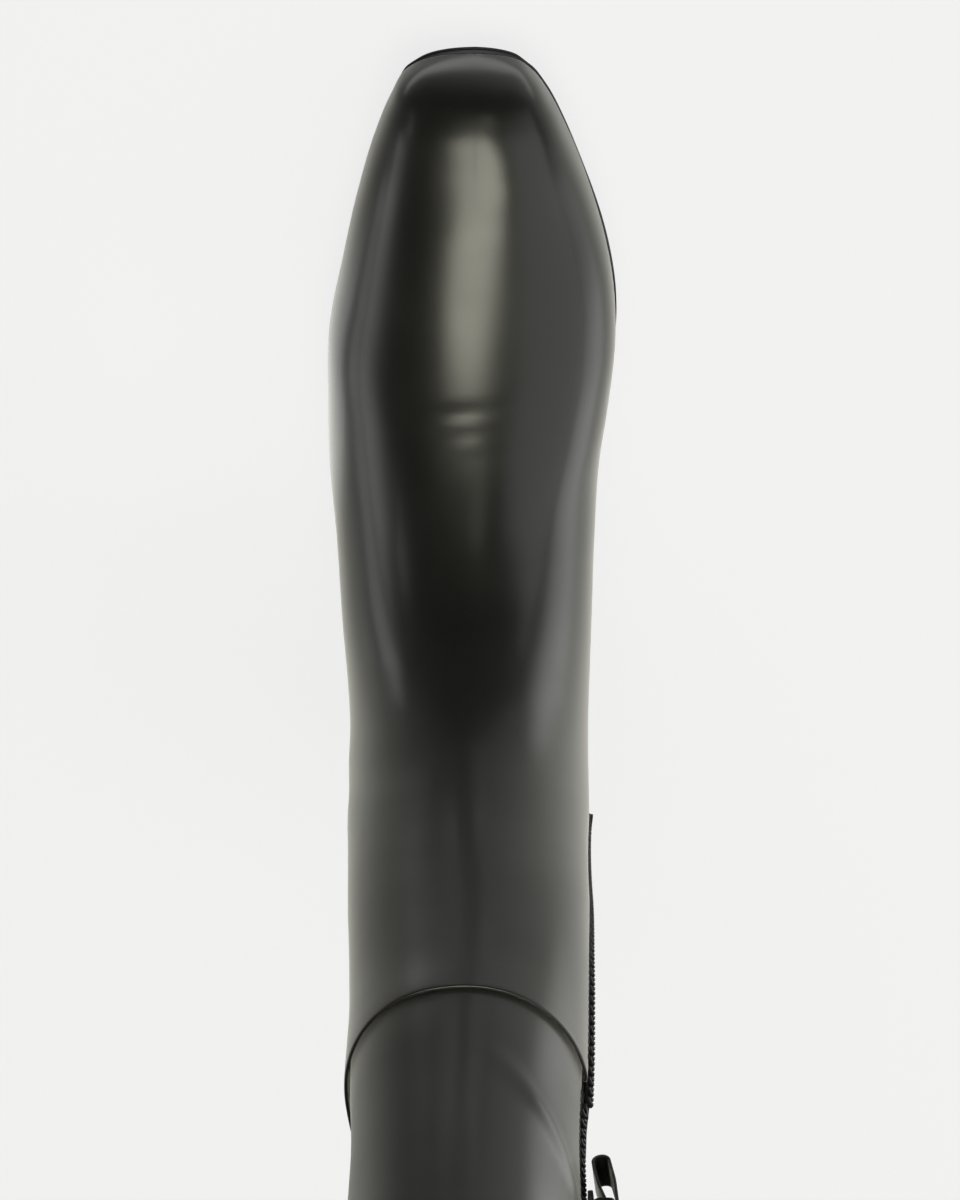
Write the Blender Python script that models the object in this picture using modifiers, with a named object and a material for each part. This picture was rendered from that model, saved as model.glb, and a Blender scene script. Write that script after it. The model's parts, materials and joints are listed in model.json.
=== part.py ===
"""Slouch boot: a left, knee-high leather boot with one rolled tuck round the shaft and an inner zip.

Metres, +Z up, toe toward -Y, inner (medial) side toward -X.
The tables are drawn in millimetres for the base last, and the driving sizes grade them.
The origin is on the floor, under the middle of the heel block.
"""
import math
from collections import namedtuple

import bmesh
import bpy
import numpy as np
from mathutils import Matrix, Vector
from mathutils.kdtree import KDTree

for old in list(bpy.data.objects):
    bpy.data.objects.remove(old, do_unlink=True)

# Driving sizes (millimetres)
FOOT_LENGTH = 276.0
BALL_WIDTH = 96.0
INSTEP_HEIGHT = 84.0
HEEL_HEIGHT = 25.0
WALL = 1.2
FIT_GAP = 0.3
FEATHER_GAP = 0.4
SOLE_THICK = 5.0
TOE_SPRING = 9.0

# The base last that the tables are drawn for
DRAWN_LENGTH = 276.0
DRAWN_BALL = 96.0
DRAWN_INSTEP = 84.0
BY_LENGTH = FOOT_LENGTH / DRAWN_LENGTH
BY_WIDTH = BALL_WIDTH / DRAWN_BALL
BY_HEIGHT = INSTEP_HEIGHT / DRAWN_INSTEP

# Stations along the foot, measured back from the toe tip
TREAD_FRONT = 45.0 * BY_LENGTH
TREAD_BACK = 128.0 * BY_LENGTH
BREAST_AT = 218.0 * BY_LENGTH
HEEL_CENTRE_AT = 246.0 * BY_LENGTH

MM = 0.001
MERGE = 0.00002


def collection(name):
    """A new collection under the scene."""
    made = bpy.data.collections.new(name)
    bpy.context.scene.collection.children.link(made)
    return made


def material(name, color, roughness, metallic=0.0):
    """A plain Principled material."""
    made = bpy.data.materials.new(name)
    made.use_nodes = True
    shader = made.node_tree.nodes["Principled BSDF"]
    shader.inputs["Base Color"].default_value = (*color, 1.0)
    shader.inputs["Roughness"].default_value = roughness
    shader.inputs["Metallic"].default_value = metallic
    return made


BOOT = collection("slouch_boot")
LEATHER = material("black_leather", (0.012, 0.012, 0.011), 0.35)
RUBBER = material("black_rubber", (0.02, 0.02, 0.02), 0.7)
LINING = material("dark_lining", (0.05, 0.045, 0.04), 0.8)
TAPE = material("black_tape", (0.015, 0.015, 0.015), 0.85)
TEETH = material("black_teeth", (0.02, 0.02, 0.02), 0.45)
SLIDER = material("black_slider", (0.03, 0.03, 0.03), 0.35, 0.6)


def placed(point):
    """A drawn point (across, from toe, up; millimetres) in the part's own metres."""
    return Vector((point[0] * MM, (point[1] - HEEL_CENTRE_AT) * MM, point[2] * MM))


def add_mesh(name, points, faces, paint):
    """A named object from points in millimetres along (across, from toe, up)."""
    mesh = bpy.data.meshes.new(name)
    mesh.from_pydata([placed(point) for point in points], [], faces)
    work = bmesh.new()
    work.from_mesh(mesh)
    bmesh.ops.remove_doubles(work, verts=work.verts, dist=MERGE)
    bmesh.ops.recalc_face_normals(work, faces=work.faces)
    work.to_mesh(mesh)
    work.free()
    mesh.materials.append(paint)
    made = bpy.data.objects.new(name, mesh)
    BOOT.objects.link(made)
    return made


def thicken(item, thickness):
    """Give an open surface a wall, inward from the surface."""
    wall = item.modifiers.new("wall", "SOLIDIFY")
    wall.thickness = thickness * MM
    wall.offset = -1.0
    wall.use_even_offset = True
    wall.use_quality_normals = True
    return wall


def smooth_curve(knots, rows, at, level_starts=()):
    """Values of a smooth curve through the rows; the columns named start with no slope."""
    steps = np.diff(knots)[:, None]
    chords = np.diff(rows, axis=0) / steps
    slopes = np.empty_like(rows)
    weighted = chords[:-1] * steps[1:] + chords[1:] * steps[:-1]
    slopes[1:-1] = weighted / (steps[1:] + steps[:-1])
    slopes[0] = chords[0]
    slopes[-1] = chords[-1]
    for column in level_starts:
        slopes[0, column] = 0.0
    at = np.clip(np.asarray(at, float), knots[0], knots[-1])
    low = np.clip(np.searchsorted(knots, at, side="right") - 1, 0, len(knots) - 2)
    span = steps[low]
    t = (at - knots[low])[:, None] / span
    start_part = (2 * t ** 3 - 3 * t ** 2 + 1) * rows[low] + (t ** 3 - 2 * t ** 2 + t) * slopes[low] * span
    end_part = (3 * t ** 2 - 2 * t ** 3) * rows[low + 1] + (t ** 3 - t ** 2) * slopes[low + 1] * span
    return start_part + end_part


def ease(t):
    """Zero to one, level at both ends."""
    t = np.clip(t, 0.0, 1.0)
    return t * t * (3.0 - 2.0 * t)


def tread_z(at):
    """Height of the outsole's underside: toe spring, flat forefoot, waist, heel seat."""
    at = np.asarray(at, float)
    spring = TOE_SPRING * (np.clip(TREAD_FRONT - at, 0.0, None) / TREAD_FRONT) ** 2
    return spring + HEEL_HEIGHT * ease((at - TREAD_BACK) / (BREAST_AT - TREAD_BACK))


def feather_z(at):
    """Height of the feather line, where the upper meets the sole."""
    return tread_z(at) + SOLE_THICK + FEATHER_GAP


# Upper: a fan of sections from the toe tip to the collar.
# A section is a closed egg from its top (or front) point to its keel (or back) point, and the feather line
# cuts off what lies below it. widest is the share of that run where the half widths are reached; the rounds
# are superellipse powers; twist turns the section outward about its middle, in degrees, and fades out toward
# the sole.
Section = namedtuple(
    "Section",
    "top_at top_z keel_at keel_z medial lateral widest top_round keel_round twist",
)
SECTIONS = [
    Section(0.2, 14.5, 0.4, 3.0, 0.0, 0.0, 0.3, 2.0, 2.0, 0.0),
    Section(1.6, 25.0, 3.0, -2.0, 12.6, 14.4, 0.27, 2.3, 2.0, 0.0),
    Section(5.5, 33.5, 8.2, -7.0, 18.9, 22.4, 0.343, 2.4, 2.0, 0.0),
    Section(14.0, 39.8, 16.8, -13.0, 24.5, 26.9, 0.382, 2.4, 2.0, 0.0),
    Section(28.0, 44.2, 30.0, -17.0, 30.6, 31.6, 0.425, 2.35, 2.0, 0.0),
    Section(50.0, 49.0, 50.0, -20.0, 38.1, 37.0, 0.454, 2.25, 2.0, 0.0),
    Section(75.0, 56.0, 76.0, -29.0, 44.4, 42.1, 0.424, 2.16, 2.0, 0.0),
    Section(98.0, 65.0, 100.0, -42.0, 46.1, 46.1, 0.392, 2.09, 2.0, 0.0),
    Section(116.0, 74.0, 122.0, -43.0, 44.4, 46.3, 0.413, 2.04, 2.0, 0.0),
    Section(132.0, 84.0, 150.0, -38.0, 41.6, 45.8, 0.437, 2.01, 2.0, 0.0),
    Section(146.0, 95.0, 181.0, -14.0, 40.1, 43.3, 0.47, 2.0, 2.0, 0.15),
    Section(157.0, 106.5, 216.0, 5.0, 39.5, 41.3, 0.48, 2.0, 2.0, 0.9),
    Section(166.0, 119.0, 249.0, 4.0, 39.0, 39.3, 0.447, 2.0, 1.99, 1.95),
    Section(172.0, 130.5, 269.0, 9.0, 38.8, 38.4, 0.447, 2.0, 1.98, 2.7),
    Section(176.0, 140.5, 274.6, 20.5, 38.8, 38.7, 0.468, 2.005, 1.95, 3.25),
    Section(178.6, 149.0, 277.0, 34.0, 38.9, 38.4, 0.48, 2.015, 1.93, 3.8),
    Section(181.0, 159.0, 278.6, 52.0, 39.0, 38.5, 0.47, 2.03, 1.92, 4.45),
    Section(183.2, 171.0, 277.4, 75.0, 38.6, 37.9, 0.45, 2.05, 1.94, 5.25),
    Section(184.8, 184.0, 273.8, 102.0, 38.5, 37.4, 0.44, 2.08, 1.98, 6.15),
    Section(186.0, 198.0, 271.4, 132.0, 38.9, 36.9, 0.43, 2.11, 2.03, 7.0),
    Section(187.0, 213.0, 272.4, 164.0, 39.0, 36.0, 0.42, 2.13, 2.09, 7.6),
    Section(187.6, 228.0, 276.8, 197.0, 39.1, 35.4, 0.42, 2.145, 2.15, 7.95),
    Section(188.0, 241.0, 282.4, 227.0, 38.6, 35.5, 0.42, 2.15, 2.19, 8.0),
    Section(188.0, 254.0, 288.0, 254.0, 37.8, 35.7, 0.42, 2.15, 2.2, 8.0),
    Section(187.8, 276.0, 293.0, 276.0, 37.1, 35.0, 0.42, 2.15, 2.2, 8.0),
    Section(187.0, 316.0, 298.0, 316.0, 37.5, 35.8, 0.43, 2.15, 2.2, 8.0),
    Section(185.0, 386.0, 301.0, 386.0, 38.8, 37.4, 0.44, 2.15, 2.2, 8.0),
]
HEEL_TURN = 15
RIM_ROW = 23
SIDE_SAMPLES = 240
TWIST_RISE = 110.0
EVEN_SHARE = 0.6
EVEN_FROM = 11
EVEN_TO = 14
LEVEL_STARTS = (0, 2)


def graded_sections():
    """The section table in working size, and the running distance of each row."""
    drawn = np.array(SECTIONS)
    grades = [BY_LENGTH, BY_HEIGHT, BY_LENGTH, BY_HEIGHT, BY_WIDTH, BY_WIDTH, 1.0, 1.0, 1.0, 1.0]
    rows = drawn * np.array(grades)
    moves = np.diff(rows, axis=0)
    top_run = np.hypot(moves[:, 0], moves[:, 1])
    keel_run = np.hypot(moves[:, 2], moves[:, 3])
    knots = np.concatenate([[0.0], np.cumsum((top_run + keel_run) / 2.0)])
    return rows, knots


ROWS, KNOTS = graded_sections()


def heel_closing():
    """Station where the keel comes up through the feather line and the sections close."""
    stations = np.linspace(KNOTS[HEEL_TURN - 1], KNOTS[HEEL_TURN], SIDE_SAMPLES)
    rows = smooth_curve(KNOTS, ROWS, stations, LEVEL_STARTS)
    return float(np.interp(0.0, rows[:, 3] - feather_z(rows[:, 2]), stations))


OPEN_END = heel_closing()


def section_side(station, side):
    """Dense points down one side of the section at a station, the length run along them, an even length.

    The even length shares out the columns; toward the heel turn it goes over to the whole egg's length, so
    that the columns do not bunch where the sections close.
    """
    row = smooth_curve(KNOTS, ROWS, [station], LEVEL_STARTS)[0]
    top_at, top_z, keel_at, keel_z, medial, lateral, widest, top_round, keel_round, twist = row
    half = medial if side < 0 else lateral
    turn = np.linspace(0.0, math.pi, SIDE_SAMPLES)
    power = np.where(turn <= math.pi / 2.0, 2.0 / top_round, 2.0 / keel_round)
    out = half * np.abs(np.sin(turn)) ** power
    fall = np.abs(np.cos(turn)) ** power
    down = np.where(turn <= math.pi / 2.0, widest * (1.0 - fall), widest + (1.0 - widest) * fall)
    back = top_at + down * (keel_at - top_at)
    up = top_z + down * (keel_z - top_z)
    points = np.stack([side * out, back, up], axis=1)
    whole = running_length(points)[-1]
    if station < OPEN_END:
        points = cut_at_feather(points)
    run = running_length(points)
    closing = ease((station - KNOTS[EVEN_FROM]) / (KNOTS[EVEN_TO] - KNOTS[EVEN_FROM]))
    even = run[-1] + closing * (whole - run[-1])
    middle = (top_at + keel_at) / 2.0
    angle = math.radians(twist) * ease((points[:, 2] - feather_z(points[:, 1])) / TWIST_RISE)
    across = points[:, 0] * np.cos(angle) - (points[:, 1] - middle) * np.sin(angle)
    along = points[:, 0] * np.sin(angle) + (points[:, 1] - middle) * np.cos(angle) + middle
    return np.stack([across, along, points[:, 2]], axis=1), run, even


def running_length(points):
    """Length run along a line of points."""
    return np.concatenate([[0.0], np.cumsum(np.linalg.norm(np.diff(points, axis=0), axis=1))])


def cut_at_feather(points):
    """The stretch of a section's side that lies above the feather line, ended on that line."""
    clear = points[:, 2] - feather_z(points[:, 1])
    below = np.nonzero(clear < 0.0)[0]
    if len(below) == 0:
        return points
    if below[0] == 0:
        return np.repeat(points[:1], 2, axis=0)
    first = below[0]
    share = clear[first - 1] / (clear[first - 1] - clear[first])
    end = points[first - 1] + share * (points[first] - points[first - 1])
    return np.vstack([points[:first], end])


def skin_row(station, shares):
    """Points of the last's skin at one station; a share runs -1 (medial foot) to 0 (top) to 1."""
    shares = np.asarray(shares, float)
    result = np.empty((len(shares), 3))
    for side in (-1, 1):
        points, run, even = section_side(station, side)
        chosen = shares < 0.0 if side < 0 else shares >= 0.0
        share = np.abs(shares[chosen])
        tail = (share - EVEN_SHARE) / (1.0 - EVEN_SHARE)
        late = EVEN_SHARE * even + tail * (run[-1] - EVEN_SHARE * even)
        wanted = np.where(share <= EVEN_SHARE, share * even, late)
        for axis in range(3):
            result[chosen, axis] = np.interp(wanted, run, points[:, axis])
    return result


def skin_normal(station, shares):
    """Outward unit normals of the skin at one station."""
    share_step = 0.004
    station_step = 0.4
    shares = np.asarray(shares, float)
    across = skin_row(station, shares + share_step) - skin_row(station, shares - share_step)
    up = skin_row(station + station_step, shares) - skin_row(station - station_step, shares)
    normal = np.cross(across, up)
    return normal / np.linalg.norm(normal, axis=1)[:, None]


def inset_row(station, shares, inset):
    """Points of the skin drawn inward by an inset."""
    points = skin_row(station, shares)
    if abs(inset) > 0.0:
        points = points - inset * skin_normal(station, shares)
    return points


# Slouch tuck: the lower shaft ends in a turned rim, and the upper shaft rises out of a groove behind it
RIM_Z = ROWS[RIM_ROW, 1]
RIM_THICK = 1.1
GROOVE_WIDE = 0.7
TUCK_DEPTH = 9.0
JOIN_RUN = 10.0
ROLL_RADIUS = RIM_THICK / 2.0
VALLEY_RADIUS = GROOVE_WIDE / 2.0
VALLEY_Z = RIM_Z - TUCK_DEPTH
UNDER_RIM = 7.0
FLARE = 0.5
FLARE_RUN = 26.0
UPPER_INSET = 1.6
UPPER_EASE = 42.0
COLLAR_Z = ROWS[-1, 1]
ROLL_STEPS = 4
VALLEY_STEPS = 2


def station_at(height):
    """Station whose front point stands at a height."""
    stations = np.linspace(OPEN_END, KNOTS[-1], SIDE_SAMPLES)
    heights = smooth_curve(KNOTS, ROWS, stations, LEVEL_STARTS)[:, 1]
    return float(np.interp(height, heights, stations))


def lower_inset(height):
    """The lower shaft stands out a little under the rim."""
    return -FLARE * float(ease((height - RIM_Z + FLARE_RUN) / FLARE_RUN))


ROLL_OUT = lower_inset(RIM_Z)
TUCK_INSET = ROLL_OUT + 2.0 * ROLL_RADIUS
INNER_INSET = TUCK_INSET + 2.0 * VALLEY_RADIUS


def upper_inset(height):
    """The upper shaft stands inside the rim all the way up."""
    return INNER_INSET + (UPPER_INSET - INNER_INSET) * float(ease((height - RIM_Z) / UPPER_EASE))


def tuck_path():
    """Rows of height and inset along the outer face, from under the rim to the groove's far side."""
    path = [(RIM_Z - UNDER_RIM, lower_inset(RIM_Z - UNDER_RIM))]
    for step in range(ROLL_STEPS + 1):
        turn = math.pi * step / ROLL_STEPS
        height = RIM_Z - ROLL_RADIUS + ROLL_RADIUS * math.sin(turn)
        path.append((height, ROLL_OUT + ROLL_RADIUS - ROLL_RADIUS * math.cos(turn)))
    for step in range(VALLEY_STEPS + 1):
        turn = math.pi * step / VALLEY_STEPS
        height = VALLEY_Z - VALLEY_RADIUS * math.sin(turn)
        path.append((height, TUCK_INSET + VALLEY_RADIUS - VALLEY_RADIUS * math.cos(turn)))
    return path


def plain_path(count):
    """Rows of height and inset that pass the tuck without a fold; the inside of the wall follows these."""
    shares = np.linspace(0.0, 1.0, count)
    heights = VALLEY_Z + JOIN_RUN * (shares - 1.0)
    start = lower_inset(heights[0])
    return [(float(h), start + (INNER_INSET - start) * float(ease(s))) for h, s in zip(heights, shares)]


LOWER_STEP_Z = (213.0, 226.0, 233.0)
UPPER_STEP_Z = (256.0, 263.0, 272.0, 284.0, 299.0, 314.0, 340.0, 363.0, 386.0)
TOE_STATIONS = (0.0, 2.0, 4.5, 7.2)
FIRST_PLAIN_ROW = 2
LAST_PLAIN_ROW = 19
FIRST_SPLIT_ROW = 3
HEEL_TURN_SHARES = (0.5, 0.8, 0.94, 1.0)


def upper_rows():
    """Rows of station and inset for the upper, toe to collar: the lower part, the tuck, the upper part."""
    rows = [(station, 0.0) for station in TOE_STATIONS]
    for index in range(FIRST_PLAIN_ROW, LAST_PLAIN_ROW + 1):
        if index == HEEL_TURN:
            continue
        rows.append((KNOTS[index], 0.0))
        if FIRST_SPLIT_ROW <= index < HEEL_TURN - 1:
            rows.append(((KNOTS[index] + KNOTS[index + 1]) / 2.0, 0.0))
        if index == HEEL_TURN - 1:
            span = OPEN_END - KNOTS[index]
            rows.extend((KNOTS[index] + share * span, 0.0) for share in HEEL_TURN_SHARES)
    for height in LOWER_STEP_Z:
        rows.append((station_at(height * BY_HEIGHT), lower_inset(height * BY_HEIGHT)))
    tuck = [(station_at(height), inset) for height, inset in tuck_path()]
    above = [(station_at(height * BY_HEIGHT), upper_inset(height * BY_HEIGHT)) for height in UPPER_STEP_Z]
    return rows, tuck, above


# Zip line on the inner side, at a share of the medial half of each section
ZIP_SHARE = 0.47
ZIP_DRIFT = 12.0
DRIFT_FROM_Z = 228.0
DRIFT_TO_Z = 165.0
SLIT_WIDE = 8.0
SLIT_FOOT_Z = 159.0
SLIT_HEAD_Z = 314.0
SLIT_TAIL = 0.5
FRONT_COLUMNS = 8
BACK_COLUMNS = 9
CALM_ROW = 10
CALM_SHARE = 0.02
TIP = 1e-6


def zip_drift(station):
    """How far the zip line runs back from its share toward its foot, in millimetres."""
    start = station_at(DRIFT_FROM_Z * BY_HEIGHT)
    end = station_at(DRIFT_TO_Z * BY_HEIGHT)
    return ZIP_DRIFT * float(ease((start - station) / (start - end)))


def zip_shares(station, offsets):
    """Signed shares of points set off from the zip line, toward the back, in millimetres."""
    length = section_side(station, -1)[2]
    drift = zip_drift(station)
    return [-(ZIP_SHARE + (offset + drift) / length) for offset in offsets]


def column_shares(station):
    """Signed shares of one row's columns, medial foot to lateral foot, two of them on the slit's edges."""
    if station < TIP:
        edges = (ZIP_SHARE, ZIP_SHARE)
    else:
        edges = [-share for share in zip_shares(station, (-SLIT_WIDE / 2.0, SLIT_WIDE / 2.0))]
    if station < KNOTS[CALM_ROW]:
        blend = float(ease(station / KNOTS[CALM_ROW]))
        calm = (ZIP_SHARE - CALM_SHARE, ZIP_SHARE + CALM_SHARE)
        edges = [calm[i] + (edges[i] - calm[i]) * blend for i in range(2)]
    front = np.linspace(0.0, edges[0], FRONT_COLUMNS + 1)
    back = np.linspace(edges[1], 1.0, BACK_COLUMNS + 1)
    half = np.concatenate([front, back])
    return np.concatenate([-half[::-1], half[1:]])


def apply_modifiers(item):
    """Bake an object's modifiers into its mesh."""
    ready = item.evaluated_get(bpy.context.evaluated_depsgraph_get())
    baked = bpy.data.meshes.new_from_object(ready)
    item.modifiers.clear()
    item.data = baked


def fold_outer_face(item, plain, folded, columns, low_row, high_row):
    """Bake the wall, carry its outer face along the folded rows, and close the slit's edges there."""
    bpy.context.view_layer.update()
    apply_modifiers(item)
    finder = KDTree(len(plain))
    for number, point in enumerate(plain):
        finder.insert(placed(point), number)
    finder.balance()
    work = bmesh.new()
    work.from_mesh(item.data)
    outer_rows = {}
    for vert in work.verts:
        number, distance = finder.find(vert.co)[1:]
        if distance < MERGE:
            vert.co = placed(folded[number])
            outer_rows[vert] = number // columns
    closing = []
    for face in work.faces:
        outer = [outer_rows[vert] for vert in face.verts if vert in outer_rows]
        if len(outer) == 2 and low_row <= min(outer) and max(outer) <= high_row:
            closing.append(face)
    caps = bmesh.ops.dissolve_faces(work, faces=closing)["region"]
    bmesh.ops.triangulate(work, faces=caps, ngon_method="EAR_CLIP")
    work.to_mesh(item.data)
    work.free()


def upper_grid(rows):
    """Points of the upper's face, row by row; the two ends of a row meet where the sections are closed."""
    grid = []
    for station, inset in rows:
        row = inset_row(station, column_shares(station), inset)
        if station >= OPEN_END:
            row[[0, -1]] = (row[0] + row[-1]) / 2.0
        grid.append(row)
    return np.concatenate(grid)


def make_upper():
    """The hollow leather upper, open at the collar, underneath and along the zip."""
    below, tuck, above = upper_rows()
    passing = [(station_at(height), inset) for height, inset in plain_path(len(tuck))]
    folded = upper_grid(below + tuck + above)
    rows = below + passing + above
    plain = upper_grid(rows)
    columns = len(plain) // len(rows)
    slit_column = BACK_COLUMNS
    slit_foot = station_at(SLIT_FOOT_Z * BY_HEIGHT)
    slit_head = station_at(SLIT_HEAD_Z * BY_HEIGHT)
    faces = []
    for r in range(len(rows) - 1):
        in_slit = rows[r][0] > slit_foot - SLIT_TAIL and rows[r + 1][0] < slit_head + SLIT_TAIL
        for c in range(columns - 1):
            if in_slit and c == slit_column:
                continue
            first = r * columns + c
            faces.append((first, first + 1, first + columns + 1, first + columns))
    made = add_mesh("upper", plain, faces, LEATHER)
    thicken(made, WALL)
    tuck_ends = (len(below) - 1, len(below) + len(tuck))
    fold_outer_face(made, plain, folded, columns, *tuck_ends)
    return made


make_upper()

# Sole unit. The margins are how far its edge stands outside the feather line, from the toe tip back;
# along the outer forefoot the leather overhangs it.
Margin = namedtuple("Margin", "at medial lateral")
SOLE_MARGINS = [
    Margin(0.0, 0.0, 0.0),
    Margin(4.0, -0.9, -1.2),
    Margin(10.0, -0.6, -1.1),
    Margin(20.0, -0.3, -0.9),
    Margin(40.0, 0.0, -0.7),
    Margin(80.0, 1.6, -0.8),
    Margin(112.0, 2.7, -0.6),
    Margin(140.0, 1.8, 0.0),
    Margin(170.0, 1.0, 0.8),
    Margin(286.0, 1.2, 1.2),
]
SOLE_BEVEL = 1.2
SOLE_TOP_BEVEL = 0.5
INSOLE_THICK = 2.5
INSOLE_SHY = WALL + 1.7
HEEL_FOOT_BEVEL = 1.0
HEEL_TAPER = 2.0
HEEL_TOP_MARGIN = 0.6
SOLE_PICKS = 44
HEEL_PICKS = 12
PLAN_SAMPLES = 500
TURN_WEIGHT = 60.0


def feather_lines():
    """The feather line from toe to heel, medial then lateral: rows of distance and half width."""
    stations = np.linspace(0.0, OPEN_END, PLAN_SAMPLES)
    lines = []
    for side in (-1, 1):
        ends = np.array([section_side(station, side)[0][-1] for station in stations])
        lines.append(np.stack([ends[:, 1], side * ends[:, 0]], axis=1))
    return lines


FEATHER = feather_lines()


def sole_edge(shy):
    """Margins of the sole's edge along the medial and lateral feather lines, less an amount."""
    table = np.array(SOLE_MARGINS)
    knots = table[:, 0] * BY_LENGTH
    return [smooth_curve(knots, table[:, 1:], FEATHER[n][:, 0])[:, n] - shy for n in range(2)]


def even_edge(margin):
    """The same margin all along both feather lines."""
    return [np.full(len(line), margin) for line in FEATHER]


def plan_side(number, margins):
    """One side of the feather line set out by its margins (in, where negative): distance and half width."""
    line = FEATHER[number]
    along = np.gradient(line, axis=0)
    along[0] = (0.0, 1.0)
    along[-1] = (0.0, -1.0)
    out = np.stack([-along[:, 1], along[:, 0]], axis=1)
    out /= np.linalg.norm(out, axis=1)[:, None]
    set_out = line + out * margins[number][:, None]
    set_out[:, 1] = np.maximum(set_out[:, 1], 0.0)
    return set_out


def plan_picks(count, first_at=0.0):
    """Row numbers of the feather line, closer together where it turns fast."""
    line = FEATHER[0]
    start = int(np.argmax(line[:, 0] >= first_at))
    along = np.gradient(line, axis=0)
    heading = np.unwrap(np.arctan2(along[:, 1], along[:, 0]))
    run = np.hypot(along[:, 0], along[:, 1])
    effort = np.cumsum(run + TURN_WEIGHT * np.abs(np.gradient(heading)))[start:]
    wanted = np.linspace(effort[0], effort[-1], count)
    picks = np.round(np.interp(wanted, effort, np.arange(start, len(line)))).astype(int)
    return np.unique(picks)


def plan_loop(picks, margins, height):
    """A closed ring of points round the outline, medial side first, at a height rule."""
    medial = plan_side(0, margins)[picks]
    lateral = plan_side(1, margins)[picks]
    ring = [(-half, at, float(height(at))) for at, half in medial]
    ring.extend((half, at, float(height(at))) for at, half in lateral[::-1])
    return ring


def ring_solid(name, rings, paint):
    """A closed body from rings of equal count, capped by strips from side to side."""
    count = len(rings[0])
    points = [point for ring in rings for point in ring]
    faces = []
    for level in range(len(rings) - 1):
        base = level * count
        for i in range(count):
            j = (i + 1) % count
            faces.append((base + i, base + j, base + count + j, base + count + i))
    for base in (0, (len(rings) - 1) * count):
        for i in range(count // 2 - 1):
            faces.append((base + i, base + i + 1, base + count - 2 - i, base + count - 1 - i))
    return add_mesh(name, points, faces, paint)


def make_outsole():
    """The outsole, with its toe spring, flat tread, waist and heel seat."""
    picks = plan_picks(SOLE_PICKS)
    rings = [
        plan_loop(picks, sole_edge(SOLE_BEVEL), tread_z),
        plan_loop(picks, sole_edge(0.0), lambda at: tread_z(at) + SOLE_BEVEL),
        plan_loop(picks, sole_edge(0.0), lambda at: tread_z(at) + SOLE_THICK - SOLE_TOP_BEVEL),
        plan_loop(picks, sole_edge(SOLE_TOP_BEVEL), lambda at: tread_z(at) + SOLE_THICK),
    ]
    return ring_solid("outsole", rings, RUBBER)


def make_insole():
    """The insole, lying on the outsole inside the upper."""
    picks = plan_picks(SOLE_PICKS)
    rings = [
        plan_loop(picks, even_edge(-INSOLE_SHY), feather_z),
        plan_loop(picks, even_edge(-INSOLE_SHY), lambda at: feather_z(at) + INSOLE_THICK),
    ]
    return ring_solid("insole", rings, LINING)


def make_heel():
    """The heel block, under the seat, with a flat foot on the floor."""
    picks = plan_picks(HEEL_PICKS, BREAST_AT)
    rings = [
        plan_loop(picks, sole_edge(HEEL_TAPER + HEEL_FOOT_BEVEL), lambda at: 0.0),
        plan_loop(picks, sole_edge(HEEL_TAPER), lambda at: HEEL_FOOT_BEVEL),
        plan_loop(picks, sole_edge(HEEL_TOP_MARGIN), lambda at: HEEL_HEIGHT - FIT_GAP),
    ]
    return ring_solid("heel_block", rings, RUBBER)


make_outsole()
make_insole()
make_heel()

# Zip
CHAIN_WIDE = 6.6
CHAIN_PROUD = 1.2
CHAIN_THICK = 2.0
TAPE_WIDE = 22.0
TAPE_THICK = 0.7
TAPE_DEPTH = WALL + FIT_GAP
CHAIN_FOOT_Z = 160.5
CHAIN_HEAD_Z = 313.0
TAPE_FOOT_Z = 153.0
TAPE_HEAD_Z = 319.0
UNDER_TUCK = 21.0
IN_TUCK = 4.0
OVER_RIM = 5.0
ABOVE_RIM = 6.5
CHAIN_COLUMNS = 4
TAPE_COLUMNS = 6
RUN_STEP = 7.0


def level_run(low, high):
    """Heights from low to high in even steps."""
    count = max(2, int(round((high - low) / RUN_STEP)) + 1)
    return [float(height) for height in np.linspace(low, high, count)]


def zip_strip(name, rows, width, columns, depth, thickness, paint):
    """A strip along the zip line at a depth under the leather's face, thickened inward."""
    offsets = np.linspace(-width / 2.0, width / 2.0, columns)
    grid = [inset_row(station, zip_shares(station, offsets), inset + depth) for station, inset in rows]
    faces = []
    for r in range(len(grid) - 1):
        for c in range(columns - 1):
            first = r * columns + c
            faces.append((first, first + columns, first + columns + 1, first + 1))
    made = add_mesh(name, np.concatenate(grid), faces, paint)
    thicken(made, thickness)
    return made


def lower_rows(low, high):
    """Rows of station and inset along the lower shaft."""
    return [(station_at(height), lower_inset(height)) for height in level_run(low, high)]


def upper_run(low, high):
    """Rows of station and inset along the upper shaft."""
    return [(station_at(height), upper_inset(height)) for height in level_run(low, high)]


def make_zip():
    """Tapes behind the slit and chains in it, below and above the tuck."""
    lower = lower_rows(CHAIN_FOOT_Z, RIM_Z + OVER_RIM)
    zip_strip("zip_chain_lower", lower, CHAIN_WIDE, CHAIN_COLUMNS, -CHAIN_PROUD, CHAIN_THICK, TEETH)
    upper = upper_run(RIM_Z + ABOVE_RIM, CHAIN_HEAD_Z)
    zip_strip("zip_chain_upper", upper, CHAIN_WIDE, CHAIN_COLUMNS, -CHAIN_PROUD, CHAIN_THICK, TEETH)
    tape = lower_rows(TAPE_FOOT_Z, RIM_Z - UNDER_TUCK)
    zip_strip("zip_tape_lower", tape, TAPE_WIDE, TAPE_COLUMNS, TAPE_DEPTH, TAPE_THICK, TAPE)
    tape = upper_run(RIM_Z - IN_TUCK, TAPE_HEAD_Z)
    zip_strip("zip_tape_upper", tape, TAPE_WIDE, TAPE_COLUMNS, TAPE_DEPTH, TAPE_THICK, TAPE)


make_zip()

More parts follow.
